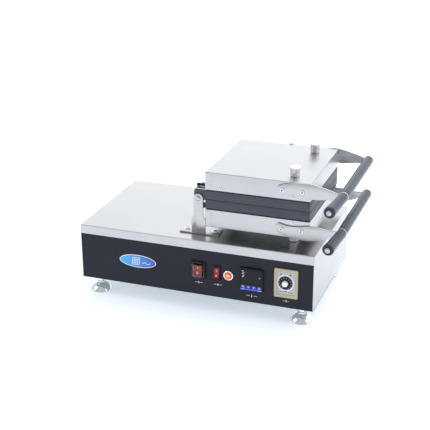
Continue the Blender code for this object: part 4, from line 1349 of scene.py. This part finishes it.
class IRON_OT_glands(bpy.types.Operator):
    """Cable glands on the back and behind each casing, a lead bush, and the parts in the base."""
    bl_idname, bl_label = "iron.glands", "Cable glands"
    bl_options = UNDOABLE

    def execute(self, context):
        for node, name, body, slot in (
            ("mains_gland", "black_moulding_and_shade", "base", "black_plastic"),
            ("lower_lead_gland", "turned_steel", "lower_half", "stainless_turned"),
            ("upper_lead_gland", "turned_steel", "upper_half", "stainless_turned"),
        ):
            lowest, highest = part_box(node)
            centre = (lowest + highest) / 2
            wide = (highest.x - lowest.x) / 2
            wall = high("base_cover").y if body == "base" else HEAD_HIGH.y
            wall -= 0.0015 if body == "base" else 0
            tip, tail = highest.y - wall, lowest.y - wall
            nut = wide * 0.9
            profile = rounded([
                (0.0030, tail), (wide * 0.60, tail), (wide * 0.60, 0.0003), (wide, 0.0003),
                (wide, tip * 0.32), (nut, tip * 0.36), (nut, tip * 0.62), (wide * 0.62, tip),
                (0.0030, tip), (0.0030, tail)], 0.0005)
            ribs = turned(profile, at(centre.x, wall, centre.z, FACING_BACK))
            hexagon = turned(rounded([(0, 0.0006), (nut * 1.12, 0.0006), (nut * 1.12, tip * 0.34),
                                      (0, tip * 0.34)], 0.0004), steps=6)
            ribs.join(hexagon.placed(at(centre.x, wall, centre.z, FACING_BACK)))
            ribs.piece(node + "_turned", look(name), body, slot, [node])
        tab = high("upper_mount_plate").z
        place = at(low("upper_mount_plate").x - 0.0005, low("upper_mount_plate").y + 0.012,
                   tab + 0.0036, Matrix.Rotation(math.radians(90), 4, "Y"))
        length = HEAD_LOW.x - low("upper_mount_plate").x + 0.0005
        bush = rounded([(0, 0), (0.0024, 0), (0.0024, 0.0006), (0.0032, 0.0010), (0.0032, 0.0060),
                        (0.0029, 0.0064), (0.0029, length), (0, length)], 0.0003)
        turned(bush, place).piece(
            "lead_bush", look("black_moulding_and_shade"), "upper_half", "black_plastic")
        for node in ("contactor", "buzzer"):
            dress(node, "black_moulding_and_shade")
        dress("terminal_block", "white_moulding")
        return {"FINISHED"}


# The stage

FLOOR_REACH = 30
FLOOR_COLOUR, FLOOR_GLOW, GLOW_STRENGTH = (0.93, 0.95, 0.98, 1), (0.80, 0.90, 1.0, 1), 0.38
SURROUND_COLOUR = (0.95, 0.975, 1.0, 1)
# The surround brightens from the first strength to the second between two directions along Y
SURROUND_WAYS, SURROUND_STRENGTHS = (0.1, 0.8), (0.57, 1.62)
# Each lamp's name, place, width, power and tint
LAMPS = (
    ("lamp_over", (0.5, 0.6, 2.5), 2.6, 34, (1.0, 0.99, 0.97)),
    ("lamp_right", (2.4, -0.2, 1.2), 1.6, 9, (1.0, 1.0, 1.0)),
    ("lamp_left", (-2.4, -1.2, 1.6), 1.8, 12, (1.0, 1.0, 1.0)),
)


class IRON_OT_stage(bpy.types.Operator):
    """Pale floor, soft lamps, a pale surround and the camera."""
    bl_idname, bl_label = "iron.stage", "Stage"
    bl_options = UNDOABLE

    def execute(self, context):
        scene = bpy.context.scene
        look_floor, _, shader = finish("Pale floor", Roughness=0.9, Specular_IOR_Level=0.1)
        shader.inputs["Base Color"].default_value = FLOOR_COLOUR
        shader.inputs["Emission Color"].default_value = FLOOR_GLOW
        shader.inputs["Emission Strength"].default_value = GLOW_STRENGTH
        ground = bpy.data.meshes.new("ground")
        reach = FLOOR_REACH
        corners = [(-reach, -reach, 0), (reach, -reach, 0), (reach, reach, 0), (-reach, reach, 0)]
        ground.from_pydata(corners, [], [(0, 1, 2, 3)])
        ground.materials.append(look_floor)
        floor = bpy.data.objects.new("ground", ground)
        scene.collection.objects.link(floor)
        for name, place, width, power, tint in LAMPS:
            data = bpy.data.lights.new(name, "AREA")
            data.size, data.energy, data.color = width, power, tint
            lamp = bpy.data.objects.new(name, data)
            lamp.location = place
            lamp.rotation_euler = (-Vector(place)).to_track_quat("-Z", "Y").to_euler()
            scene.collection.objects.link(lamp)
        world = bpy.data.worlds.new("Surround")
        world.use_nodes = True
        surround = world.node_tree.nodes["Background"]
        surround.inputs[0].default_value = SURROUND_COLOUR
        place = add(world.node_tree, "TexCoord").outputs["Generated"]
        away = add(world.node_tree, "SeparateXYZ", {0: place}).outputs[1]
        bright = spread(world.node_tree, away, *SURROUND_WAYS, *SURROUND_STRENGTHS)
        world.node_tree.links.new(bright, surround.inputs[1])
        scene.world = world
        scene.view_settings.view_transform = "Standard"
        self.camera(scene)
        return {"FINISHED"}

    def camera(self, scene):
        turn, rise, roll = CAMERA_TURN, CAMERA_FALL, CAMERA_ROLL
        ahead = Vector((-math.sin(turn) * math.cos(rise), math.cos(turn) * math.cos(rise),
                        -math.sin(rise)))
        right = Vector((math.cos(turn), math.sin(turn), 0))
        up = right.cross(ahead)
        level = right * math.cos(roll) + up * math.sin(roll)
        upright = up * math.cos(roll) - right * math.sin(roll)
        data = bpy.data.cameras.new("camera")
        data.lens, data.sensor_width = CAMERA_LENS, 36
        data.clip_end = 100
        camera = bpy.data.objects.new("camera", data)
        camera.matrix_world = Matrix.Translation(CAMERA_PLACE) @ Matrix(
            (level, upright, -ahead)).transposed().to_4x4()
        scene.collection.objects.link(camera)
        scene.camera = camera


OPERATORS = (
    IRON_OT_cover, IRON_OT_panels, IRON_OT_feet, IRON_OT_hinge, IRON_OT_switches, IRON_OT_lamp,
    IRON_OT_controller, IRON_OT_timer, IRON_OT_badge, IRON_OT_icons, IRON_OT_plates,
    IRON_OT_casings, IRON_OT_knobs, IRON_OT_arms, IRON_OT_grips, IRON_OT_glands, IRON_OT_stage,
)


class IRON_PT_panel(bpy.types.Panel):
    """Lists the building steps and the sizes and colours."""
    bl_idname, bl_label = "IRON_PT_panel", "Turn-over waffle iron"
    bl_space_type, bl_region_type, bl_category = "VIEW_3D", "UI", "Waffle Iron"

    def draw(self, context):
        for operator in OPERATORS:
            self.layout.operator(operator.bl_idname)
        for group in (context.scene.iron_sizes, context.scene.iron_colours):
            box = self.layout.box()
            for name in group.__annotations__:
                box.prop(group, name)


CLASSES = (IronSizes, IronColours, *OPERATORS, IRON_PT_panel)


def register():
    for item in CLASSES:
        bpy.utils.register_class(item)
    bpy.types.Scene.iron_sizes = PointerProperty(type=IronSizes)
    bpy.types.Scene.iron_colours = PointerProperty(type=IronColours)


def unregister():
    del bpy.types.Scene.iron_sizes
    del bpy.types.Scene.iron_colours
    for item in reversed(CLASSES):
        bpy.utils.unregister_class(item)


def clear_defaults():
    """Removes what a new file starts with and the frame does not hold."""
    for name in ("Cube", "Light", "Camera"):
        item = bpy.data.objects.get(name)
        if item is not None:
            bpy.data.objects.remove(item)


def main():
    clear_defaults()
    register()
    for operator in OPERATORS:
        getattr(bpy.ops.iron, operator.bl_idname.split(".")[1])()


if __name__ == "__main__":
    main()
